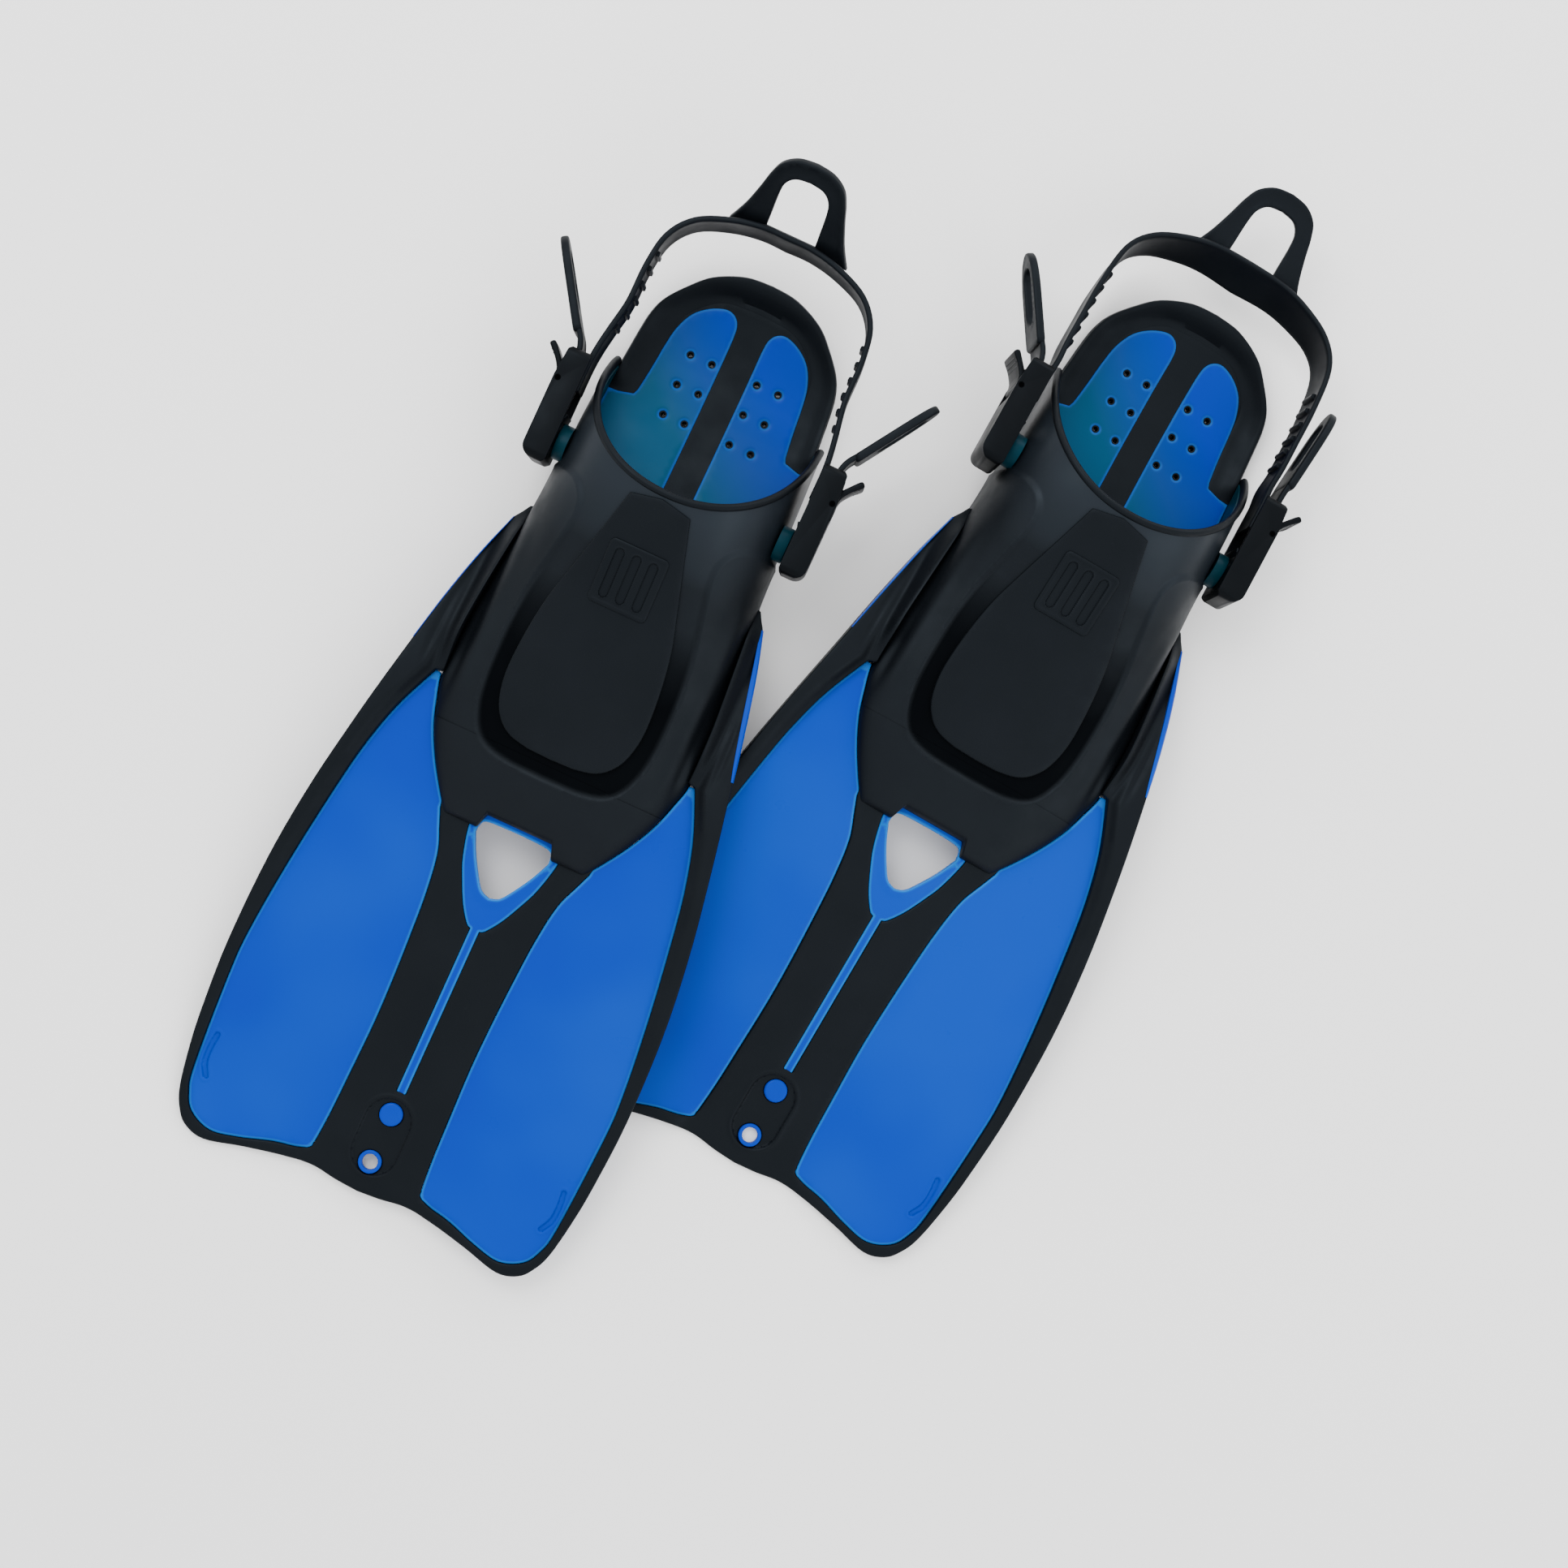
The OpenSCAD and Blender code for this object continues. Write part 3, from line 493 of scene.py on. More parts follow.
def rubber_frame():
    """The rubber moulded round the panels: front edge, spine and side rails in one."""
    def as_rail(x, y):
        return step(np.abs(x) - spine_half(np.minimum(y, 200)), 0.5, 7)

    def top(x, y):
        across = np.abs(x)
        spine = spine_top(y) - badge_recess(x, y)
        spine += 0.3 * bump(across, spine_half(y) - 1.6, 1.0) * step(y, 30, 50)
        spine -= 0.25 * (1 - step(across, 2.4, 6.5)) * step(y, 55, 62)
        rail = tilted(rail_top)(x, y)
        # The rail is highest along its outer part, grooved beside the pocket, and rises into its wall
        out = across - np.interp(y, FIELD_Y, FIELD_X)
        rail -= (rail - tilted(arch)(x, y) - 0.5) * 0.5 * (1 - step(out, 0.5, 6)) * step(y, 30, 80)
        from_pocket = across - pocket_half(y)
        near = (1 - step(from_pocket, -1.5, 11)) * step(y, 246, 280)
        rail += 9.0 * near**2 * (1 - step(y, 330, 352))
        rail -= 1.1 * bump(from_pocket, 9.5, 1.8) * step(y, 250, 275) * (1 - step(y, 318, 335))
        share = as_rail(x, y)
        return spine * (1 - share) + rail * share

    def bottom(x, y):
        share = as_rail(x, y)
        return spine_bottom(y) * (1 - share) + tilted(rail_bottom)(x, y) * share

    holes = [circle(0, HANG_Y, HANG_R + RING_W), circle(0, INLAY_Y, INLAY_R)]
    return plate([frame_ring(), *holes], top, bottom, edge=0.9, pitch=2.3, low_edge=0.8,
                 dense=[(-14, 15, 14, 60, 0.8), (56, 240, 82, 352, 1.2), (-82, 240, -56, 352, 1.2)])


def rail_edges():
    """The blue skeleton's edge, seen along the outside of each rail beside the pocket."""
    line = BLADE_EDGE[(BLADE_EDGE[:, 1] > 262) & (BLADE_EDGE[:, 1] < 341)]

    def strip(wide):
        rings = []
        for k, (x, y) in enumerate(line):
            fade = math.sin(math.pi * (k + 0.5) / len(line)) ** 0.5
            high = tilted(rail_top)(x, y) + 0.12
            low = high - 1.2 - 3.6 * fade
            width = 0.2 + wide * fade
            rings.append([(x - width, y, low), (x + 0.1, y, low), (x + 0.3, y, (low + high) / 2),
                          (x + 0.1, y, high - 0.7), (x - 0.25 * width, y, high), (x - width, y, high)])
        return loft(rings)

    # The photo shows it plainly on one side of each fin only
    return join(strip(2.4), mirrored(strip(0.35)))


def vent_frame():
    outline = np.concatenate([[(2.4, 61.5)], VENT_TIP, [(42, 205), (50, 216), (56, 228), (50, 235)]])
    ring = np.concatenate([both_sides(outline), circle(0, 61.5, 2.4, 16)[9:16]])

    def top(x, y):
        hole = distance_to(np.stack([x, y], axis=1), [VENT_HOLE])
        along = step(y, 152, 160) * (1 - step(y, 192, 199))
        return arch(y) + 0.2 + 0.55 * (1 - step(hole, 2.2, 4.2)) * along

    return plate([ring, VENT_HOLE], top, lambda x, y: arch(y) - blade_t(y), edge=0.7, pitch=2.0,
                 spacing=1.2, dense=[(-2.4, 60, 2.4, 152, 0.9)])


def hang_ring():
    base, top = float(spine_bottom(HANG_Y)), float(spine_top(HANG_Y))
    outer, inner, r = HANG_R + RING_W, HANG_R, 0.5
    profile = [(outer, base), (outer, top - r), (outer - 0.15, top - 0.15), (outer - r, top),
               (inner + r, top), (inner + 0.15, top - 0.15), (inner, top - r), (inner, base)]
    return loft([[(a * u, HANG_Y + a * v, h) for a, h in profile] for u, v in circle(0, 0, 1, 64)],
                closed=True)


def tip_inlay():
    base, top, r = float(spine_bottom(INLAY_Y)), float(spine_top(INLAY_Y)), INLAY_R
    profile = [(r, base), (r, top - 0.7), (r - 0.15, top - 0.35), (r - 0.6, top - 0.1), (r - 1.3, top),
               (r * 0.5, top - 0.15), (0.4, top - 0.2)]
    return lathe(profile, Matrix.Translation((0, INLAY_Y, 0)))


# ---- Foot pocket ----
RECESS = both_sides(np.concatenate([
    smooth([(0, 229), (22, 230), (35, 235), (42.5, 247), (45.7, 265), (45.7, 292), (43.7, 312),
            (40, 330), (36.5, 350), (38.7, 360), (46, 367), (60, 372)], 5),
    [(90, 375), (90, 460)]]))
PANEL = smooth([(12, 240.4), (22, 242.6), (29, 247.5), (34, 256), (36.5, 270), (35.5, 290),
                (32.5, 310), (27.5, 328), (21, 350), (15.5, 369)], 5)


def pocket_relief(x, y):
    """Height of the skin's raised and sunken bands over the plain dome, and how deep in a groove it is."""
    p = np.stack([x.ravel(), y.ravel()], axis=1)
    d = distance_to(p, [RECESS])
    inside = is_inside(p, RECESS)
    shape = x.shape
    drop = np.where(inside, step(d, 0, 2.6), 0.0).reshape(shape)
    lip = (np.where(inside, 0, 1) * np.exp(-d / 1.5)).reshape(shape)
    deep = 1.0 - 0.55 * step(y, 318, 352)
    side = np.abs(x)
    along = step(y, 238, 262) * (1 - step(y, 330, 350))
    folds = 1.0 * bump(side, 55, 3.2) - 0.9 * bump(side, 60.5, 2.2) + 0.5 * bump(side, 64, 1.5)
    return -1.9 * drop * deep + 0.3 * lip + folds * along * 0.8, drop * (1 - step(y, 300, 352))


def dome_section(angle):
    """Shares of the dome's half-width and rise at an angle in degrees from the top."""
    rad = np.radians(angle)
    return (np.sign(rad) * np.abs(np.sin(rad)) ** (2 / DOME_N),
            np.clip(np.cos(rad), 0, 1) ** (2 / DOME_N))


def even_angles(n):
    """Angles that divide the dome's section into steps of equal length."""
    half, rise = 65, 40
    angles = np.linspace(-90, 90, 1801)
    x, z = dome_section(angles)
    run = np.concatenate([[0], np.cumsum(np.hypot(half * np.diff(x), rise * np.diff(z)))])
    return np.interp(np.linspace(0, run[-1], n), run, angles)


POCKET_COLS = even_angles(221)
WALL_ROWS = 8
# Above this value, edge_mm tells how deep in the groove round the instep panel a point lies
GROOVE_MARK = 100
NOTCH_HALF, NOTCH_DEPTH = 18.4, 7.5


def toe_edge(x):
    """Where the toe cap's front edge lies, with its notch in the middle."""
    return TOE - 0.4 + NOTCH_DEPTH * (1 - step(np.abs(x), NOTCH_HALF - 1.6, NOTCH_HALF + 1.8))


def skin_point(y, a, inset, base):
    """Point of the pocket's skin, `inset` inside its outer face."""
    across, up = dome_section(a)
    return np.stack([(pocket_half(y) - inset) * across, y, base + (pocket_top(y) - inset - base) * up],
                    axis=-1)


def grid_normals(grid):
    normal = np.cross(np.gradient(grid, axis=1), np.gradient(grid, axis=0))
    return normal / np.maximum(np.linalg.norm(normal, axis=-1, keepdims=True), 1e-9)


def pocket_grid(inset, rows=200):
    u = np.linspace(0, 1, rows)[:, None]
    a = POCKET_COLS[None, :]
    y = SOLE_START + (rim_y(a) - SOLE_START) * u
    grid = skin_point(y, np.broadcast_to(a, y.shape), inset, dome_base(y))
    wall_y = SOLE_START + (WALL_END - SOLE_START) * u[:, 0]
    half = pocket_half(wall_y) - inset
    top, low = dome_base(wall_y), sole_bottom(wall_y)
    # Below the dome the wall drops straight to the sole, and its outer face turns in at the foot
    tuck = np.array([0, 0, 0, 0, 0, 0, 0.25, 1.2]) * (inset == 0)
    drops = np.arange(1, WALL_ROWS + 1) / WALL_ROWS
    right = np.stack([np.stack([half - pull, wall_y, top + (low - top) * share], axis=-1)
                      for share, pull in zip(drops, tuck)], axis=1)
    return np.concatenate([right[:, ::-1] * (-1, 1, 1), grid, right], axis=1)


def foot_pocket():
    outer = pocket_grid(0)
    lift, groove = pocket_relief(outer[..., 0], outer[..., 1])
    outer = outer + grid_normals(outer) * lift[..., None]
    verts, faces = grid_shell(outer, pocket_grid(WALL))
    a = np.pad(POCKET_COLS, WALL_ROWS, constant_values=90)
    to_rim = np.minimum(GROOVE_MARK, rim_y(a) - outer[..., 1]) + GROOVE_MARK * groove
    return verts, faces, np.concatenate([to_rim.ravel(), np.full(to_rim.size, 60.0)])


def toe_cap():
    across, section = dome_section(POCKET_COLS[None, :])
    u = (np.linspace(0, 1, 48) ** 1.3)[:, None]
    x = pocket_half(TOE + (SOLE_START - TOE) * u) * across
    front = toe_edge(x)
    y = front + (SOLE_START + 0.4 - front) * u
    from_front = y - front
    nose = np.sqrt(1 - (1 - np.clip(from_front / 3.2, 0, 1)) ** 2)
    full = np.maximum(0.9, (pocket_top(y) - arch(y)) * section)
    z = arch(y) + 0.25 + full * (0.12 + 0.88 * nose)
    outer = np.stack([x, y, z], axis=-1)
    relief, groove = pocket_relief(x, y)
    outer += grid_normals(outer) * (relief * step(from_front, 3, 12))[..., None]
    verts, faces = grid_shell(outer, np.stack([x, y, arch(y) - 0.1], axis=-1))
    return verts, faces, GROOVE_MARK * (1 + np.tile(groove.ravel(), 2))


def instep_panel():
    ring = both_sides(np.concatenate([[(0, 240)], PANEL, [(0, 372)]]))
    return plate([ring], lambda x, y: dome_z(x, y) + 0.55, lambda x, y: dome_z(x, y) - 2.6, edge=0.8,
                 pitch=2.4, spacing=1.8)


def rounded_box(w, h, r, n=6):
    corners = [(1, 1, 0), (-1, 1, 90), (-1, -1, 180), (1, -1, 270)]
    turns = np.radians(90 * np.arange(n + 1) / n)
    return np.array([(sx * (w / 2 - r) + r * math.cos(math.radians(start) + t),
                      sy * (h / 2 - r) + r * math.sin(math.radians(start) + t))
                     for sx, sy, start in corners for t in turns])


GRIP_Y, GRIP_W, GRIP_L = 332, 29, 30


def grip_block():
    """A square pad raised from the instep panel, with three long slots."""
    slots = [rounded_box(5, GRIP_L - 5.5, 2.49) + (k * 0.3 * GRIP_W, GRIP_Y) for k in (-1, 0, 1)]
    ring = rounded_box(GRIP_W + 1.2, GRIP_L + 1.2, 2.6) + (0, GRIP_Y)

    def top(x, y):
        p = np.stack([x, y], axis=1)
        lift = 1.3 + 0.25 * bump(distance_to(p, [ring]), 1.3, 0.8)
        for slot in slots:
            d = distance_to(p, [slot])
            lift -= is_inside(p, slot) * step(d, 0, 0.8) - 0.25 * bump(d, 0, 0.5)
        return dome_z(x, y) + lift

    return plate([ring], top, lambda x, y: dome_z(x, y) - 0.4, edge=0.5, pitch=0.55, spacing=0.9)


def opening_rim():
    """The bead round the foot opening."""
    angles = np.linspace(-89, 89, 150)
    yy = rim_y(angles)
    outer = skin_point(yy, angles, 0, dome_base(yy))
    inner = skin_point(yy, angles, WALL, dome_base(yy))
    centre = (outer + inner) / 2
    out = outer - inner
    tangent = np.gradient(centre, axis=0)
    tangent /= np.linalg.norm(tangent, axis=1, keepdims=True)
    out -= tangent * np.sum(out * tangent, axis=1, keepdims=True)
    out /= np.linalg.norm(out, axis=1, keepdims=True)
    along = np.cross(tangent, out)
    return loft([[c + 1.95 * u * side + RIM_R * v * up for u, v in circle(0, 0, 1, 20)]
                 for c, side, up in zip(centre, out, along)])


def liner():
    """The blue lining of the pocket's sides, seen through the foot opening."""
    a = np.linspace(-88, 88, 90)[None, :]
    u = np.linspace(0, 1, 40)[:, None]
    y = 290 + (rim_y(a) - 2.0 - 290) * u
    wide = np.broadcast_to(a, y.shape)
    upper = skin_point(y, wide, WALL + 0.05, footbed_top(y))
    lower = skin_point(y, wide, WALL + 0.75, footbed_top(y))
    return (*grid_shell(upper, lower), np.tile((rim_y(a) - y).ravel(), 2))


DRAINS = [(x, y) for y in (420, 436.5, 452.8) for x in (12.3, 24)]


def sole_ring():
    """Outline of the sole's right half, from the toe end round to the middle of the heel."""
    side = pocket_side(SOLE_START, 420.5, 44, out=-WALL - 0.1)
    shoulder = [(54.9, 421), (49.9, 421.2), (41.3, 422.6)]
    heel = smooth([(40.8, 424), (39.7, 434), (38.9, 442), (38, 452), (37, 464), (33.6, 471.6),
                   (25.6, 479.5), (17.2, 483.5), (8, 484.6), (0, 484.9)], 4)
    return np.concatenate([side, shoulder, heel])


def footbed():
    """Blue footbed: one lobe each side of the stripe, rounded at the heel."""
    front = pocket_side(SOLE_START, 420.5, 44, out=-WALL)
    lobe = np.concatenate([
        [(STRIPE_HALF, SOLE_START)], front, [(54.5, 421), (49, 421.4), (41.6, 423.4)],
        smooth([(40.6, 426), (39.5, 434), (38.6, 442), (37.6, 452), (35.8, 462), (31.5, 471),
                (24.5, 477), (16.5, 480), (11.3, 478.6), (8.5, 474.5), (STRIPE_HALF, 468)], 4)])

    def top(x, y):
        near = np.min([np.hypot(x - dx, y - dy) for dx, dy in DRAINS], axis=0)
        return footbed_top(y) - 0.35 * (1 - step(near, 2.1, 3.4)) + 0.2

    drains = [circle(x, y, DRAIN_R, 24) for x, y in DRAINS]
    return paired(plate([lobe, *drains], top, lambda x, y: footbed_top(y) - 1.2, edge=0.45, pitch=3.2,
                        spacing=1.5, dense=[(6, 412, 32, 462, 1.1)]))


def sole():
    """The rubber under and between the footbed's lobes."""
    drains = [circle(s * x, y, DRAIN_R - 0.8, 20) for x, y in DRAINS for s in (-1, 1)]
    return plate([both_sides(sole_ring()), *drains], lambda x, y: footbed_top(y) - 0.35,
                 lambda x, y: sole_bottom(y), edge=0.4, pitch=3.4)


def heel_border():
    """The curled rubber edge round the heel plate."""
    inner = smooth([(50, 421), (41, 423), (39.5, 434), (38.6, 442), (37.6, 452), (36.5, 464), (33, 471),
                    (25, 479), (17, 483), (8, 484), (0, 484.4)], 5)
    outer = smooth([(55.1, 421.2), (54.4, 428), (53.8, 436), (53.2, 443), (52.3, 453), (50.8, 463),
                    (47.2, 472), (39, 482), (29, 491), (14, 497.4), (0, 498.8)], 5)
    n = len(inner)
    rings = []
    for k, (a, b) in enumerate(zip(inner, outer)):
        grow = float(step(k / n, 0, 0.16))
        za, zb = float(footbed_top(a[1])), float(footbed_top(b[1]))
        low = float(sole_bottom(b[1])) + 1.6
        rise = 4.0 * grow
        row = [(0, float(sole_bottom(a[1]))), (0, za - 0.3), (0.05, za - 0.05), (0.18, za + 0.1),
               (0.36, (za + zb) / 2 + 0.1 + 0.12 * rise), (0.55, zb + 0.36 * rise),
               (0.74, zb + 0.78 * rise), (0.86, zb + 0.97 * rise), (0.94, zb + 0.95 * rise),
               (0.99, zb + 0.6 * rise), (1.0, zb + 0.1 * rise - 0.4), (0.985, zb - 2.6),
               (0.93, low + 0.6), (0.84, low)]
        rings.append([(a[0] + (b[0] - a[0]) * s, a[1] + (b[1] - a[1]) * s, h) for s, h in row])
    return loft(np.concatenate([rings, np.array(rings)[::-1][1:] * (-1, 1, 1)]))


def tread():
    bars = [(0, y + 4.5, 76, 9) for y in range(262, 395, 22)]
    heel_pads = [(0, 437, 16, 18), (33, 437, 9, 18), (-33, 437, 9, 18)]
    return join(*[plate([rounded_box(w, h, 1.6) + (x, y)], lambda x, y: sole_bottom(y) + 0.4,
                        lambda x, y: sole_bottom(y) - TREAD_T, edge=0.1, low_edge=0.6, pitch=3)
                  for x, y, w, h in bars + heel_pads])


# ---- Buckles and strap, drawn on the +X side about the pivot ----
WALL_X = float(pocket_half(PIVOT.y))
BUCKLE_X0 = WALL_X + 2.2
STRAP_X = WALL_X + 1.4 + STRAP_T / 2
BAR_X = STRAP_X + STRAP_T / 2 + BAR_R
TAIL_X = BAR_X + BAR_R + STRAP_T / 2
BOSS_R, FLANGE_T = 2.1, 2.4
PIN_X = TAIL_X + STRAP_T / 2 + GAP + BOSS_R
PIN_Y = BAR_Y + 14
CHANNEL = STRAP_W + 1.6
BUCKLE_H = CHANNEL + 2 * FLANGE_T
TO_PIVOT = Matrix.Translation(PIVOT)
AT_PIN = TO_PIVOT @ Matrix.Translation((PIN_X, PIN_Y, 0))


def along_x(x):
    """Turns a lathe's axis to X, starting at x."""
    return TO_PIVOT @ Matrix.Translation((x, 0, 0)) @ Matrix.Rotation(math.pi / 2, 4, "Y")


def swivel_posts():
    flange = WALL_X - 3.8
    top = BUCKLE_X0 - GAP
    right = lathe([(1.7, flange - 0.1), (8.9, flange), (9, top - 0.8), (8.8, top - 0.2), (8.3, top),
                   (4.02, top + 0.01), (4, top + 2.3), (3.7, top + 2.5), (1.7, top + 2.55)],
                  along_x(0), sides=64)
    return paired(right)


def swivel_rivets():
    base = BUCKLE_X0 - GAP
    head = BUCKLE_X0 + 2.2
    right = lathe([(0.2, base), (1.6, base), (1.6, head), (6.2, head + 0.01), (6.4, head + 0.2),
                   (6.1, head + 0.6), (4.6, head + 0.95), (2.4, head + 1.13), (0.2, head + 1.2)],
                  along_x(0), sides=48)
    return paired(right)


def pin_recesses():
    """Discs in the countersunk ends of the lever pins, on the top and underside of the buckles, to carry the
    painted shade of the pin holes.
    """
    top = BUCKLE_H / 2
    profile = [(0.1, top - 0.3), (1.1, top - 0.28), (1.2, top - 0.05), (1.3, top + 0.04), (1.5, top + 0.04),
               (1.6, top - 0.05)]
    upper = lathe(profile, AT_PIN, sides=24)
    lower = lathe([(r, -h) for r, h in profile], AT_PIN, sides=24)
    return paired(join(upper, lower))


def lever():
    ring = smooth([(-0.9, 1.2), (1.9, 0.4), (3, 4.6), (6.6, 9.6), (10.5, 13.4), (10.3, 15), (9.2, 15.8),
                   (7.8, 15.3), (4.4, 11.4), (1.2, 7.7), (-0.4, 6.9), (-1.7, 6.6), (-1.6, 4)], 3)
    half = (CHANNEL - 1) / 2
    body = flat_plate([ring], -half, half, edge=0.9, pitch=1.2, spacing=0.6)
    knuckle = lathe([(0.2, 0.3 - half), (1.9, 0.3 - half), (BOSS_R, 0.5 - half), (BOSS_R, half - 0.5),
                     (1.9, half - 0.3), (0.2, half - 0.3)], Matrix.Identity(4), sides=32)
    ribs = [loft([[(x, y, z) for x, y in circle(5.6 + 1.55 * k, 8.9 + 1.5 * k, 0.45, 10)]
                  for z in (-half + 2.2, half - 2.2)]) for k in range(3)]
    return moved(join(body, knuckle, *ribs), AT_PIN)


def strap_line(fin, n=5):
    """Middle line of one side of the strap, from the buckle round to the heel."""
    arm, heel = ARM[fin], BAND_Y[fin]
    start = PIVOT.y + BAR_Y + TRAVEL + GAP
    return smooth([(STRAP_X, start), (STRAP_X, 420), (STRAP_X - 0.8, 430), ((STRAP_X + arm) / 2, 441),
                   (arm, 456), (arm - 0.4, 475), (arm - 3.5, heel - 22), (arm - 13, heel - 10),
                   (arm - 29, heel - 3), (arm - 44, heel), (0, heel)], n)


def strap_section():
    """Half-rounded band: long sides slightly hollow, with a bead along each edge."""
    hw, ht, r = STRAP_W / 2, STRAP_T / 2, 1.15
    outer = []
    for sx, sy, start in ((1, 1, 0), (-1, 1, 90), (-1, -1, 180), (1, -1, 270)):
        for k in range(5):
            t = math.radians(start + 22.5 * k)
            outer.append((sx * (hw - r) + r * math.cos(t), sy * (ht - r) + r * math.sin(t)))
        if sx == sy:
            for s in (0.74, 0.6, 0, -0.6, -0.74):
                hollow = 0 if abs(s) > 0.7 else 0.3
                outer.append((s * sx * hw, sy * (ht - hollow)))
    return np.array(outer)


def strap_along(line, leans, z):
    """The strap's band swept along a line at height z, leaning outwards by an angle at each point."""
    up, last = np.array((0, 0, 1)), len(line) - 1
    rings = []
    for i, (point, lean) in enumerate(zip(line, leans)):
        run = line[min(last, i + 1)] - line[max(0, i - 1)]
        run /= np.linalg.norm(run)
        out = np.array((run[1], -run[0], 0))
        width = math.cos(lean) * up + math.sin(lean) * out
        thick = math.cos(lean) * out - math.sin(lean) * up
        rings.append([(*point, z) + a * width + b * thick for a, b in strap_section()])
    return loft(rings)


def heel_strap(fin):
    half = strap_line(fin)
    line = np.concatenate([half, half[::-1][1:] * (-1, 1)])
    leans = math.radians(LEAN[fin]) * np.clip(1 - np.abs(line[:, 0]) / ARM[fin], 0, 1) ** 0.7
    band = strap_along(line, leans, PIVOT.z)
    teeth = []
    arm = half[half[:, 1] < BAND_Y[fin] - 12]
    profile = [(0.6, 0), (-TOOTH_H + 0.35, 0.25), (-TOOTH_H, 0.7), (-TOOTH_H, 2.1), (-TOOTH_H + 0.4, 2.7),
               (0.6, 3)]
    reach = STRAP_W / 2 - 4
    for k in range(6):
        y = 441 + k * TOOTH_PITCH
        x = float(np.interp(y, arm[:, 1], arm[:, 0])) - STRAP_T / 2
        tooth = []
        for z, shrink in ((-reach, 0.55), (-reach + 0.6, 1), (reach - 0.6, 1), (reach, 0.55)):
            tooth.append([(x + px * (shrink if px < 0 else 1), y + py, PIVOT.z + z) for px, py in profile])
        teeth += [loft(tooth), mirrored(loft(tooth))]
    return join(band, *teeth)


def pull_loop(fin):
    outer = both_sides(smooth([(0, LOOP_LEN), (9, LOOP_LEN - 1.5), (16, LOOP_LEN - 6.5),
                               (19.5, LOOP_LEN - 14), (22, 24), (25.5, 13), (29, 5), (31, 1)], 5))
    hole = both_sides(smooth([(0, LOOP_LEN - 10), (7, LOOP_LEN - 11.3), (11, LOOP_LEN - 15.5),
                              (12.3, LOOP_LEN - 22), (12.6, 13), (12.8, 4.5)], 5))
    half = 2.2

    def top(x, y):
        d = distance_to(np.stack([x, y], axis=1), [outer, hole])
        return half - 0.45 * step(d, 1.2, 2.6)

    place = (Matrix.Translation((0, BAND_Y[fin], PIVOT.z))
             @ Matrix.Rotation(math.radians(LOOP_ANGLE - LEAN[fin]), 4, "X"))
    shape = plate([outer, hole], top, lambda x, y: -top(x, y), edge=1.1, pitch=1.8, spacing=1.3)
    return moved(shape, place)


def tail(fin, side):
    angle = math.radians(TAIL_ANGLE.get((fin, side), TAIL_ANGLE_REST))
    start = np.array((TAIL_X, BAR_Y + TRAVEL / 2 + GAP))
    bend = np.array((TAIL_X, BUCKLE_FRONT + BUCKLE_LEN + 1))
    along = np.array((math.sin(angle), math.cos(angle)))
    path = smooth([start, bend - (0, 6), bend + along * 3.2, bend + along * (GRIP_START + 2)], 6)
    thin = moved(strap_along(path, np.zeros(len(path)), 0), TO_PIVOT)
    # The grip lies in a plane: x across its width, y along it, z through its thickness
    length, width = TAIL_LEN - GRIP_START, STRAP_W + 2
    ring = np.concatenate([
        [(-width / 2 + 1.5, 0), (width / 2 - 1.5, 0)],
        smooth([(width / 2, 2), (width / 2, 16), (width / 2 - 0.6, length - 16),
                (width / 2 - 3.4, length - 6), (width / 2 - 8, length - 1.2), (0, length)], 5),
        smooth([(0, length), (-width / 2 + 8, length - 1.2), (-width / 2 + 3.4, length - 6),
                (-width / 2 + 0.6, length - 16), (-width / 2, 16), (-width / 2, 2)], 5)[1:]])
    hole = rounded_box(12, 28, 5.9) + (0, length - 22)

    def crown(x, y):
        d = distance_to(np.stack([x, y], axis=1), [ring, hole])
        bars = 0.45 * np.sum([bump(y, 2.2 + 3 * k, 0.7) for k in range(3)], axis=0)
        return TAIL_T / 2 - 0.5 - 0.35 * step(d, 1.0, 2.2) + bars * (np.abs(x) < width / 2 - 2.5)

    shape = plate([ring, hole], crown, lambda x, y: 0.1 - TAIL_T / 2 + 0 * x, edge=1.2, pitch=1.7,
                  spacing=1.2)
    shift = (TAIL_T - STRAP_T) / 2 - 0.1
    basis = Matrix(((0, along[0], along[1]), (0, along[1], -along[0]), (1, 0, 0))).to_4x4()
    place = (TO_PIVOT @ Matrix.Translation((*bend, 0)) @ basis
             @ Matrix.Translation((0, GRIP_START, shift)))
    return join(thin, moved(shape, place))


# ---- Materials ----
def new_material(name):
    material = bpy.data.materials.new(name)
    material.use_nodes = True
    tree = material.node_tree
    tree.nodes.clear()
    output = tree.nodes.new("ShaderNodeOutputMaterial")
    shader = tree.nodes.new("ShaderNodeBsdfPrincipled")
    tree.links.new(shader.outputs["BSDF"], output.inputs["Surface"])
    return material, tree, shader


def set_inputs(node, values):
    for name, value in values.items():
        node.inputs[name].default_value = value


def noise(tree, scale, detail=3, stretch=None):
    coords = tree.nodes.new("ShaderNodeTexCoord")
    texture = tree.nodes.new("ShaderNodeTexNoise")
    set_inputs(texture, {"Scale": scale, "Detail": detail})
    source = coords.outputs["Object"]
    if stretch:
        mapping = tree.nodes.new("ShaderNodeMapping")
        mapping.inputs["Scale"].default_value = stretch
        tree.links.new(source, mapping.inputs["Vector"])
        source = mapping.outputs["Vector"]
    tree.links.new(source, texture.inputs["Vector"])
    return texture.outputs["Fac"]


def ranged(tree, value, low, high, to_low, to_high):
    node = tree.nodes.new("ShaderNodeMapRange")
    set_inputs(node, {"From Min": low, "From Max": high, "To Min": to_low, "To Max": to_high})
    tree.links.new(value, node.inputs["Value"])
    return node.outputs["Result"]


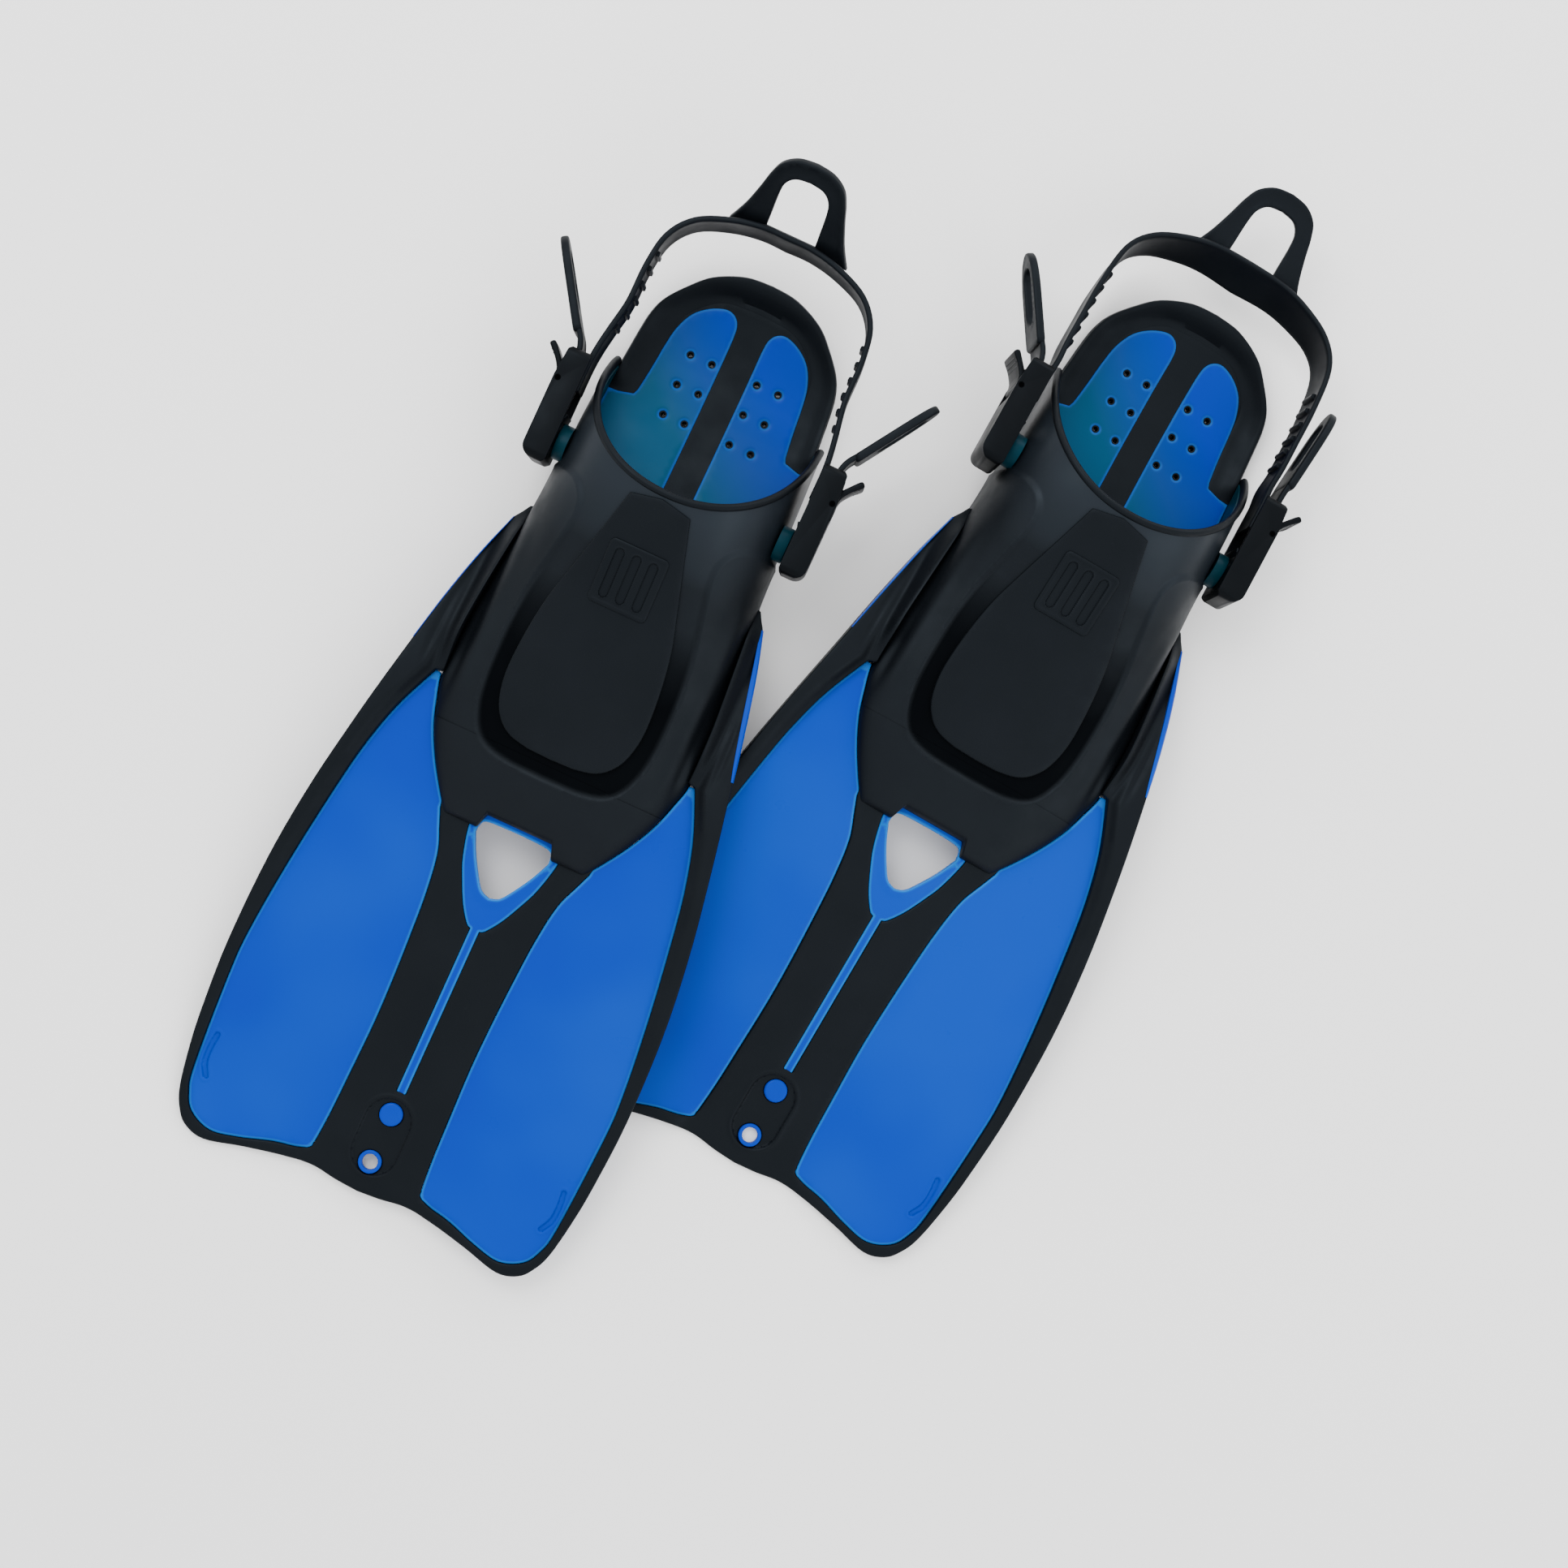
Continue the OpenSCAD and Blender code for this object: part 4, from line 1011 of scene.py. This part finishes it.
def mixed(tree, factor, a, b):
    node = tree.nodes.new("ShaderNodeMix")
    node.data_type = "RGBA"
    tree.links.new(factor, node.inputs["Factor"])
    for socket, value in (("A", a), ("B", b)):
        target = next(s for s in node.inputs if s.name == socket and s.type == "RGBA")
        if isinstance(value, tuple):
            target.default_value = (*value, 1)
        else:
            tree.links.new(value, target)
    return next(s for s in node.outputs if s.type == "RGBA")


def bumped(tree, shader, layers):
    """Adds fine surface relief: each layer is a height, its depth in metres and its strength."""
    last = None
    for height, distance, strength in layers:
        node = tree.nodes.new("ShaderNodeBump")
        set_inputs(node, {"Distance": distance, "Strength": strength})
        tree.links.new(height, node.inputs["Height"])
        if last:
            tree.links.new(last, node.inputs["Normal"])
        last = node.outputs["Normal"]
    tree.links.new(last, shader.inputs["Normal"])


def by_layer(tree, name, low, high, to_low, to_high):
    """A value that follows one of the layers laid on the mesh by add_layer."""
    node = tree.nodes.new("ShaderNodeAttribute")
    node.attribute_name = name
    return ranged(tree, node.outputs["Fac"], low, high, to_low, to_high)


def blue_material(name, deep, light, edge_tint_and_highlight, roughness, shaded=None):
    """Glossy moulded plastic with a paler colour at its edges, partly a lighter edge tint and partly a painted
    highlight where the rounded edges catch light; given a shaded colour, it is also darkened and greener with
    painted shade where the pocket shades it.
    """
    material, tree, shader = new_material(name)
    cloudy = ranged(tree, noise(tree, 9, 2), 0.35, 0.65, 0, 1)
    base = mixed(tree, cloudy, deep, light)
    # Painted shade: the colour mixes towards the shaded colour where the pocket shades the footbed
    if shaded:
        base = mixed(tree, by_layer(tree, "shade", 470, 400, 0, 1), base, shaded)
    # Partly painted highlight: near outlines the colour turns paler, for light caught by the rounded edges as well
    # as a lighter edge tint
    near_edge = by_layer(tree, "edge_mm", 0.5, 1.5, 1, 0)
    tree.links.new(mixed(tree, near_edge, base, edge_tint_and_highlight), shader.inputs["Base Color"])
    smudges = ranged(tree, noise(tree, 55, 4), 0.3, 0.7, roughness - 0.05, roughness + 0.07)
    tree.links.new(smudges, shader.inputs["Roughness"])
    bumped(tree, shader, [(noise(tree, 1200, 1), 0.0001, 0.03)])
    set_inputs(shader, {"IOR": 1.4, "Specular IOR Level": 0.14, "Specular Tint": (0.6, 0.8, 1, 1)})
    return material


def rubber_material(name, dark, worn, roughness, grain, gloss_band_and_painted_light=False, specular=0.16):
    """Moulded rubber with a fine matte grain; for the foot pocket, smoother round the foot opening, with a painted
    sheen lightening the colour there and painted shade in the groove round the instep panel.
    """
    material, tree, shader = new_material(name)
    patches = ranged(tree, noise(tree, 22, 4), 0.35, 0.7, 0, 1)
    dust = ranged(tree, noise(tree, 700, 3), 0.66, 0.8, 0, 0.35)
    base = mixed(tree, patches, dark, worn)
    speck = mixed(tree, dust, base, tuple(2.2 * c for c in worn))
    tree.links.new(speck, shader.inputs["Base Color"])
    rough = ranged(tree, noise(tree, 75, 3), 0.3, 0.7, roughness - 0.05, roughness + 0.08)
    if gloss_band_and_painted_light:
        # edge_mm is over 100 on the floor of the groove round the instep panel
        # Painted shade: the colour is darkened on the groove floor, where shade falls in the recess
        groove = by_layer(tree, "edge_mm", 120, 210, 1, 0.35)
        groove_painted_shade = tree.nodes.new("ShaderNodeVectorMath")
        groove_painted_shade.operation = "SCALE"
        tree.links.new(speck, groove_painted_shade.inputs[0])
        tree.links.new(groove, groove_painted_shade.inputs["Scale"])
        # Painted sheen: the colour is lightened near the foot opening, for light that the smoother rubber reflects
        # there
        painted_sheen = by_layer(tree, "edge_mm", 8, 52, 1, 0)
        tree.links.new(mixed(tree, painted_sheen, groove_painted_shade.outputs[0], (0.0075, 0.0098, 0.013)),
                       shader.inputs["Base Color"])
        shine = by_layer(tree, "edge_mm", 120, 200, 0.2, 0.03)
        tree.links.new(shine, shader.inputs["Specular IOR Level"])
        near_rim = by_layer(tree, "edge_mm", 8, 60, 0.72, 1.0)
        product = tree.nodes.new("ShaderNodeMath")
        product.operation = "MULTIPLY"
        tree.links.new(rough, product.inputs[0])
        tree.links.new(near_rim, product.inputs[1])
        rough = product.outputs[0]
    tree.links.new(rough, shader.inputs["Roughness"])
    bumped(tree, shader, [(noise(tree, 2100, 2), 0.0002, grain), (noise(tree, 130, 3), 0.0006, 0.05)])
    set_inputs(shader, {"IOR": 1.4, "Specular IOR Level": specular, "Specular Tint": (0.72, 0.86, 1, 1)})
    return material


def steel_material():
    """Drawn stainless steel with fine turning lines."""
    material, tree, shader = new_material("stainless_steel")
    lines = noise(tree, 800, 2, stretch=(1, 1, 0.04))
    base = mixed(tree, lines, (0.42, 0.43, 0.45), (0.6, 0.61, 0.62))
    tree.links.new(base, shader.inputs["Base Color"])
    tree.links.new(ranged(tree, lines, 0.3, 0.7, 0.22, 0.38), shader.inputs["Roughness"])
    bumped(tree, shader, [(lines, 0.0001, 0.08)])
    shader.inputs["Metallic"].default_value = 1.0
    return material


# The last colour given to each blue is its paler edge colour: partly a lighter edge tint, partly a painted
# highlight
BLUE = blue_material("blue_blade_plastic", (0.0, 0.022, 0.27), (0.0, 0.036, 0.3), (0.0, 0.11, 0.4), 0.32)
# The footbed's shaded colour is painted shade, for the pocket's shadow on it
FOOTBED = blue_material("blue_footbed_plastic", (0.0, 0.018, 0.26), (0.0, 0.025, 0.28), (0.0, 0.06, 0.26),
                        0.36, shaded=(0.0, 0.045, 0.1))
# Painted shade: blue darkened and greened for the shade inside the pocket and in the gap between buckle and pocket
BLUE_IN_PAINTED_SHADE = blue_material("blue_plastic_painted_shade", (0.0, 0.015, 0.022), (0.0, 0.019, 0.03), (0.0, 0.03, 0.045),
                      0.42)
RUBBER = rubber_material("black_rubber", (0.0012, 0.0016, 0.0024), (0.002, 0.0026, 0.0036), 0.5, 0.12)
POCKET = rubber_material("pocket_rubber", (0.0012, 0.0016, 0.0024), (0.002, 0.0026, 0.0036), 0.52, 0.1,
                         gloss_band_and_painted_light=True)
PLASTIC = rubber_material("black_buckle_plastic", (0.0009, 0.001, 0.0013), (0.0014, 0.0016, 0.002), 0.42,
                          0.06, specular=0.1)
# Painted shade: near-black for the shade down the lever pins' holes
PIN_HOLE_SHADE = rubber_material("pin_hole_painted_shade", (0.0002, 0.0002, 0.0003), (0.0003, 0.0003, 0.0004), 0.7,
                            0.03, specular=0.01)
STEEL = steel_material()


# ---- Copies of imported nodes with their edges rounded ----
def rounded_copy(node, material, body, width, segments=2):
    """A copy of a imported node's mesh whose sharp edges are rounded by `width` millimetres."""
    mesh = frame["nodes"][node].data.copy()
    mesh.name = node + "_rounded"
    bm = bmesh.new()
    bm.from_mesh(mesh)
    bmesh.ops.remove_doubles(bm, verts=bm.verts, dist=2e-6)
    bmesh.ops.dissolve_limit(bm, angle_limit=math.radians(1.5), verts=bm.verts, edges=bm.edges)
    sharp = [e for e in bm.edges if e.is_manifold and e.calc_face_angle(0) > math.radians(32)]
    bmesh.ops.bevel(bm, geom=sharp, offset=width * MM, segments=segments, profile=0.5, affect="EDGES",
                    clamp_overlap=True)
    bmesh.ops.triangulate(bm, faces=[f for f in bm.faces if len(f.verts) > 4])
    shade_smooth(bm, mesh, math.radians(34))
    add_layer(mesh, "edge_mm", np.full(len(mesh.vertices), FAR_FROM_EDGE))
    add_piece(node + "_rounded", mesh, material, body, [node])


# ---- Camera ----
def add_camera():
    """The photograph's view: from above, turned so that the blades point down and left."""
    spot = Vector((-0.0853, -0.1001, 1.2217))
    right = Vector((0.88462, 0.45567, 0.09918)).normalized()
    back = Vector((-0.08828, -0.04521, 0.99507)).normalized()
    up = back.cross(right).normalized()
    right = up.cross(back).normalized()
    data = bpy.data.cameras.new("camera")
    data.sensor_width = 36
    data.lens = 55.9
    camera = bpy.data.objects.new("camera", data)
    camera.matrix_world = Matrix.Translation(spot) @ Matrix((right, up, back)).transposed().to_4x4()
    bpy.context.scene.collection.objects.link(camera)
    bpy.context.scene.camera = camera


# ---- Floor and lights ----
def add_floor():
    size, n = 4.0, 8
    steps = np.linspace(-size, size, n + 1)
    verts = [(x, y, 0) for y in steps for x in steps]
    faces = [(j * (n + 1) + i, j * (n + 1) + i + 1, (j + 1) * (n + 1) + i + 1, (j + 1) * (n + 1) + i)
             for j in range(n) for i in range(n)]
    mesh = bpy.data.meshes.new("floor")
    mesh.from_pydata(verts, [], faces)
    material, tree, shader = new_material("pale_floor")
    tint = mixed(tree, noise(tree, 3, 2), (0.86, 0.86, 0.865), (0.9, 0.9, 0.9))
    tree.links.new(tint, shader.inputs["Base Color"])
    shader.inputs["Roughness"].default_value = 0.9
    mesh.materials.append(material)
    floor = bpy.data.objects.new("floor", mesh)
    bpy.context.scene.collection.objects.link(floor)


def add_light(name, spot, target, size, power):
    data = bpy.data.lights.new(name, "AREA")
    data.shape = "RECTANGLE"
    data.size, data.size_y = size
    data.energy = power
    lamp = bpy.data.objects.new(name, data)
    lamp.location = spot
    lamp.rotation_euler = (Vector(target) - Vector(spot)).to_track_quat("-Z", "Y").to_euler()
    bpy.context.scene.collection.objects.link(lamp)


def add_lights():
    world = bpy.data.worlds.new("studio")
    world.use_nodes = True
    set_inputs(world.node_tree.nodes["Background"], {"Color": (1, 1, 1, 1), "Strength": 1.9})
    bpy.context.scene.world = world
    add_light("key", (-0.9, 0.6, 1.6), (0, 0, 0), (1.0, 1.0), 26)
    add_light("fill", (1.3, -0.4, 1.3), (0, 0, 0), (1.4, 1.0), 10)
    add_light("back", (0.2, 1.6, 0.9), (0, 0.1, 0), (1.4, 0.6), 14)


# ---- Assembly ----
FIXED = {
    "blade_panels": (blade_panels(), BLUE, "blue_plastic", ["blade_panels"]),
    "rubber_frame": (rubber_frame(), RUBBER, "black_rubber", ["spine", "side_rails", "tip_edge"]),
    "rail_edges": (rail_edges(), BLUE, "blue_plastic", []),
    "vent_frame": (vent_frame(), BLUE, "blue_plastic", ["vent_frame"]),
    "hang_ring": (hang_ring(), BLUE, "blue_plastic", ["hang_ring"]),
    "tip_inlay": (tip_inlay(), BLUE, "blue_plastic", ["tip_inlay"]),
    "foot_pocket": (foot_pocket(), POCKET, "black_rubber", ["foot_pocket"]),
    "toe_cap": (toe_cap(), POCKET, "black_rubber", ["toe_cap"]),
    "instep_panel": (instep_panel(), RUBBER, "black_rubber", ["instep_panel"]),
    "grip_block": (grip_block(), RUBBER, "black_rubber", ["grip_block"]),
    "opening_rim": (opening_rim(), RUBBER, "black_rubber", ["opening_rim"]),
    # The lining is blue; its darkened teal is painted shade inside the pocket
    "liner": (liner(), BLUE_IN_PAINTED_SHADE, "blue_plastic", []),
    "footbed": (footbed(), FOOTBED, "blue_plastic", ["footbed"]),
    "sole": (sole(), RUBBER, "black_rubber", ["sole", "footbed_stripe"]),
    "heel_border": (heel_border(), RUBBER, "black_rubber", ["heel_border"]),
    "tread": (tread(), RUBBER, "black_rubber", ["tread"]),
    # The swivel posts are blue; their darkened teal is painted shade
    "swivel_posts": (swivel_posts(), BLUE_IN_PAINTED_SHADE, "blue_plastic", ["swivel_posts"]),
    "swivel_rivets": (swivel_rivets(), STEEL, "steel", ["swivel_rivets"]),
}


def add_fin(fin):
    place, buckles = swung_matrix(fin), fin + "_buckles"

    def add_swung(name, part, material, body, nodes=()):
        """A piece that swings with the strap; its edges are given no paler edge colour (edge tint and painted
        highlight).
        """
        add_skin(name, (*part[:2], None), place, material, body, nodes)

    for name, (part, material, slot, nodes) in FIXED.items():
        add_skin(f"{fin}_{name}_skin", part, fin_matrix(fin), material, fin + "_fin",
                 [f"{fin}_{n}" for n in nodes])
    for node, part in ((fin + "_heel_strap", heel_strap(fin)), (fin + "_pull_loop", pull_loop(fin))):
        add_swung(node + "_skin", part, RUBBER, fin + "_strap", [node])
    for side in ("outer", "inner"):
        flip = Matrix.Diagonal((SIDE[fin, side], 1, 1, 1))
        name = f"{fin}_{side}"
        add_swung(name + "_lever_skin", moved(lever(), flip), PLASTIC, name + "_lever",
                  [name + "_lever"])
        add_swung(name + "_tail_skin", moved(tail(fin, side), flip), RUBBER, name + "_strap_tail",
                  [name + "_tail"])
        rounded_copy(name + "_buckle", PLASTIC, buckles, 0.7, segments=3)
    # The pin recess discs carry painted shade for the dark pin holes
    add_swung(fin + "_pin_recesses", pin_recesses(), PIN_HOLE_SHADE, buckles)
    rounded_copy(fin + "_strap_turns", RUBBER, buckles, 0.5)
    for kept, material in (("strap_bars", STEEL), ("lever_pins", PLASTIC)):
        node = frame["nodes"][f"{fin}_{kept}"]
        node.data.materials.clear()
        node.data.materials.append(material)


add_camera()
add_floor()
add_lights()
for fin in FINS:
    add_fin(fin)
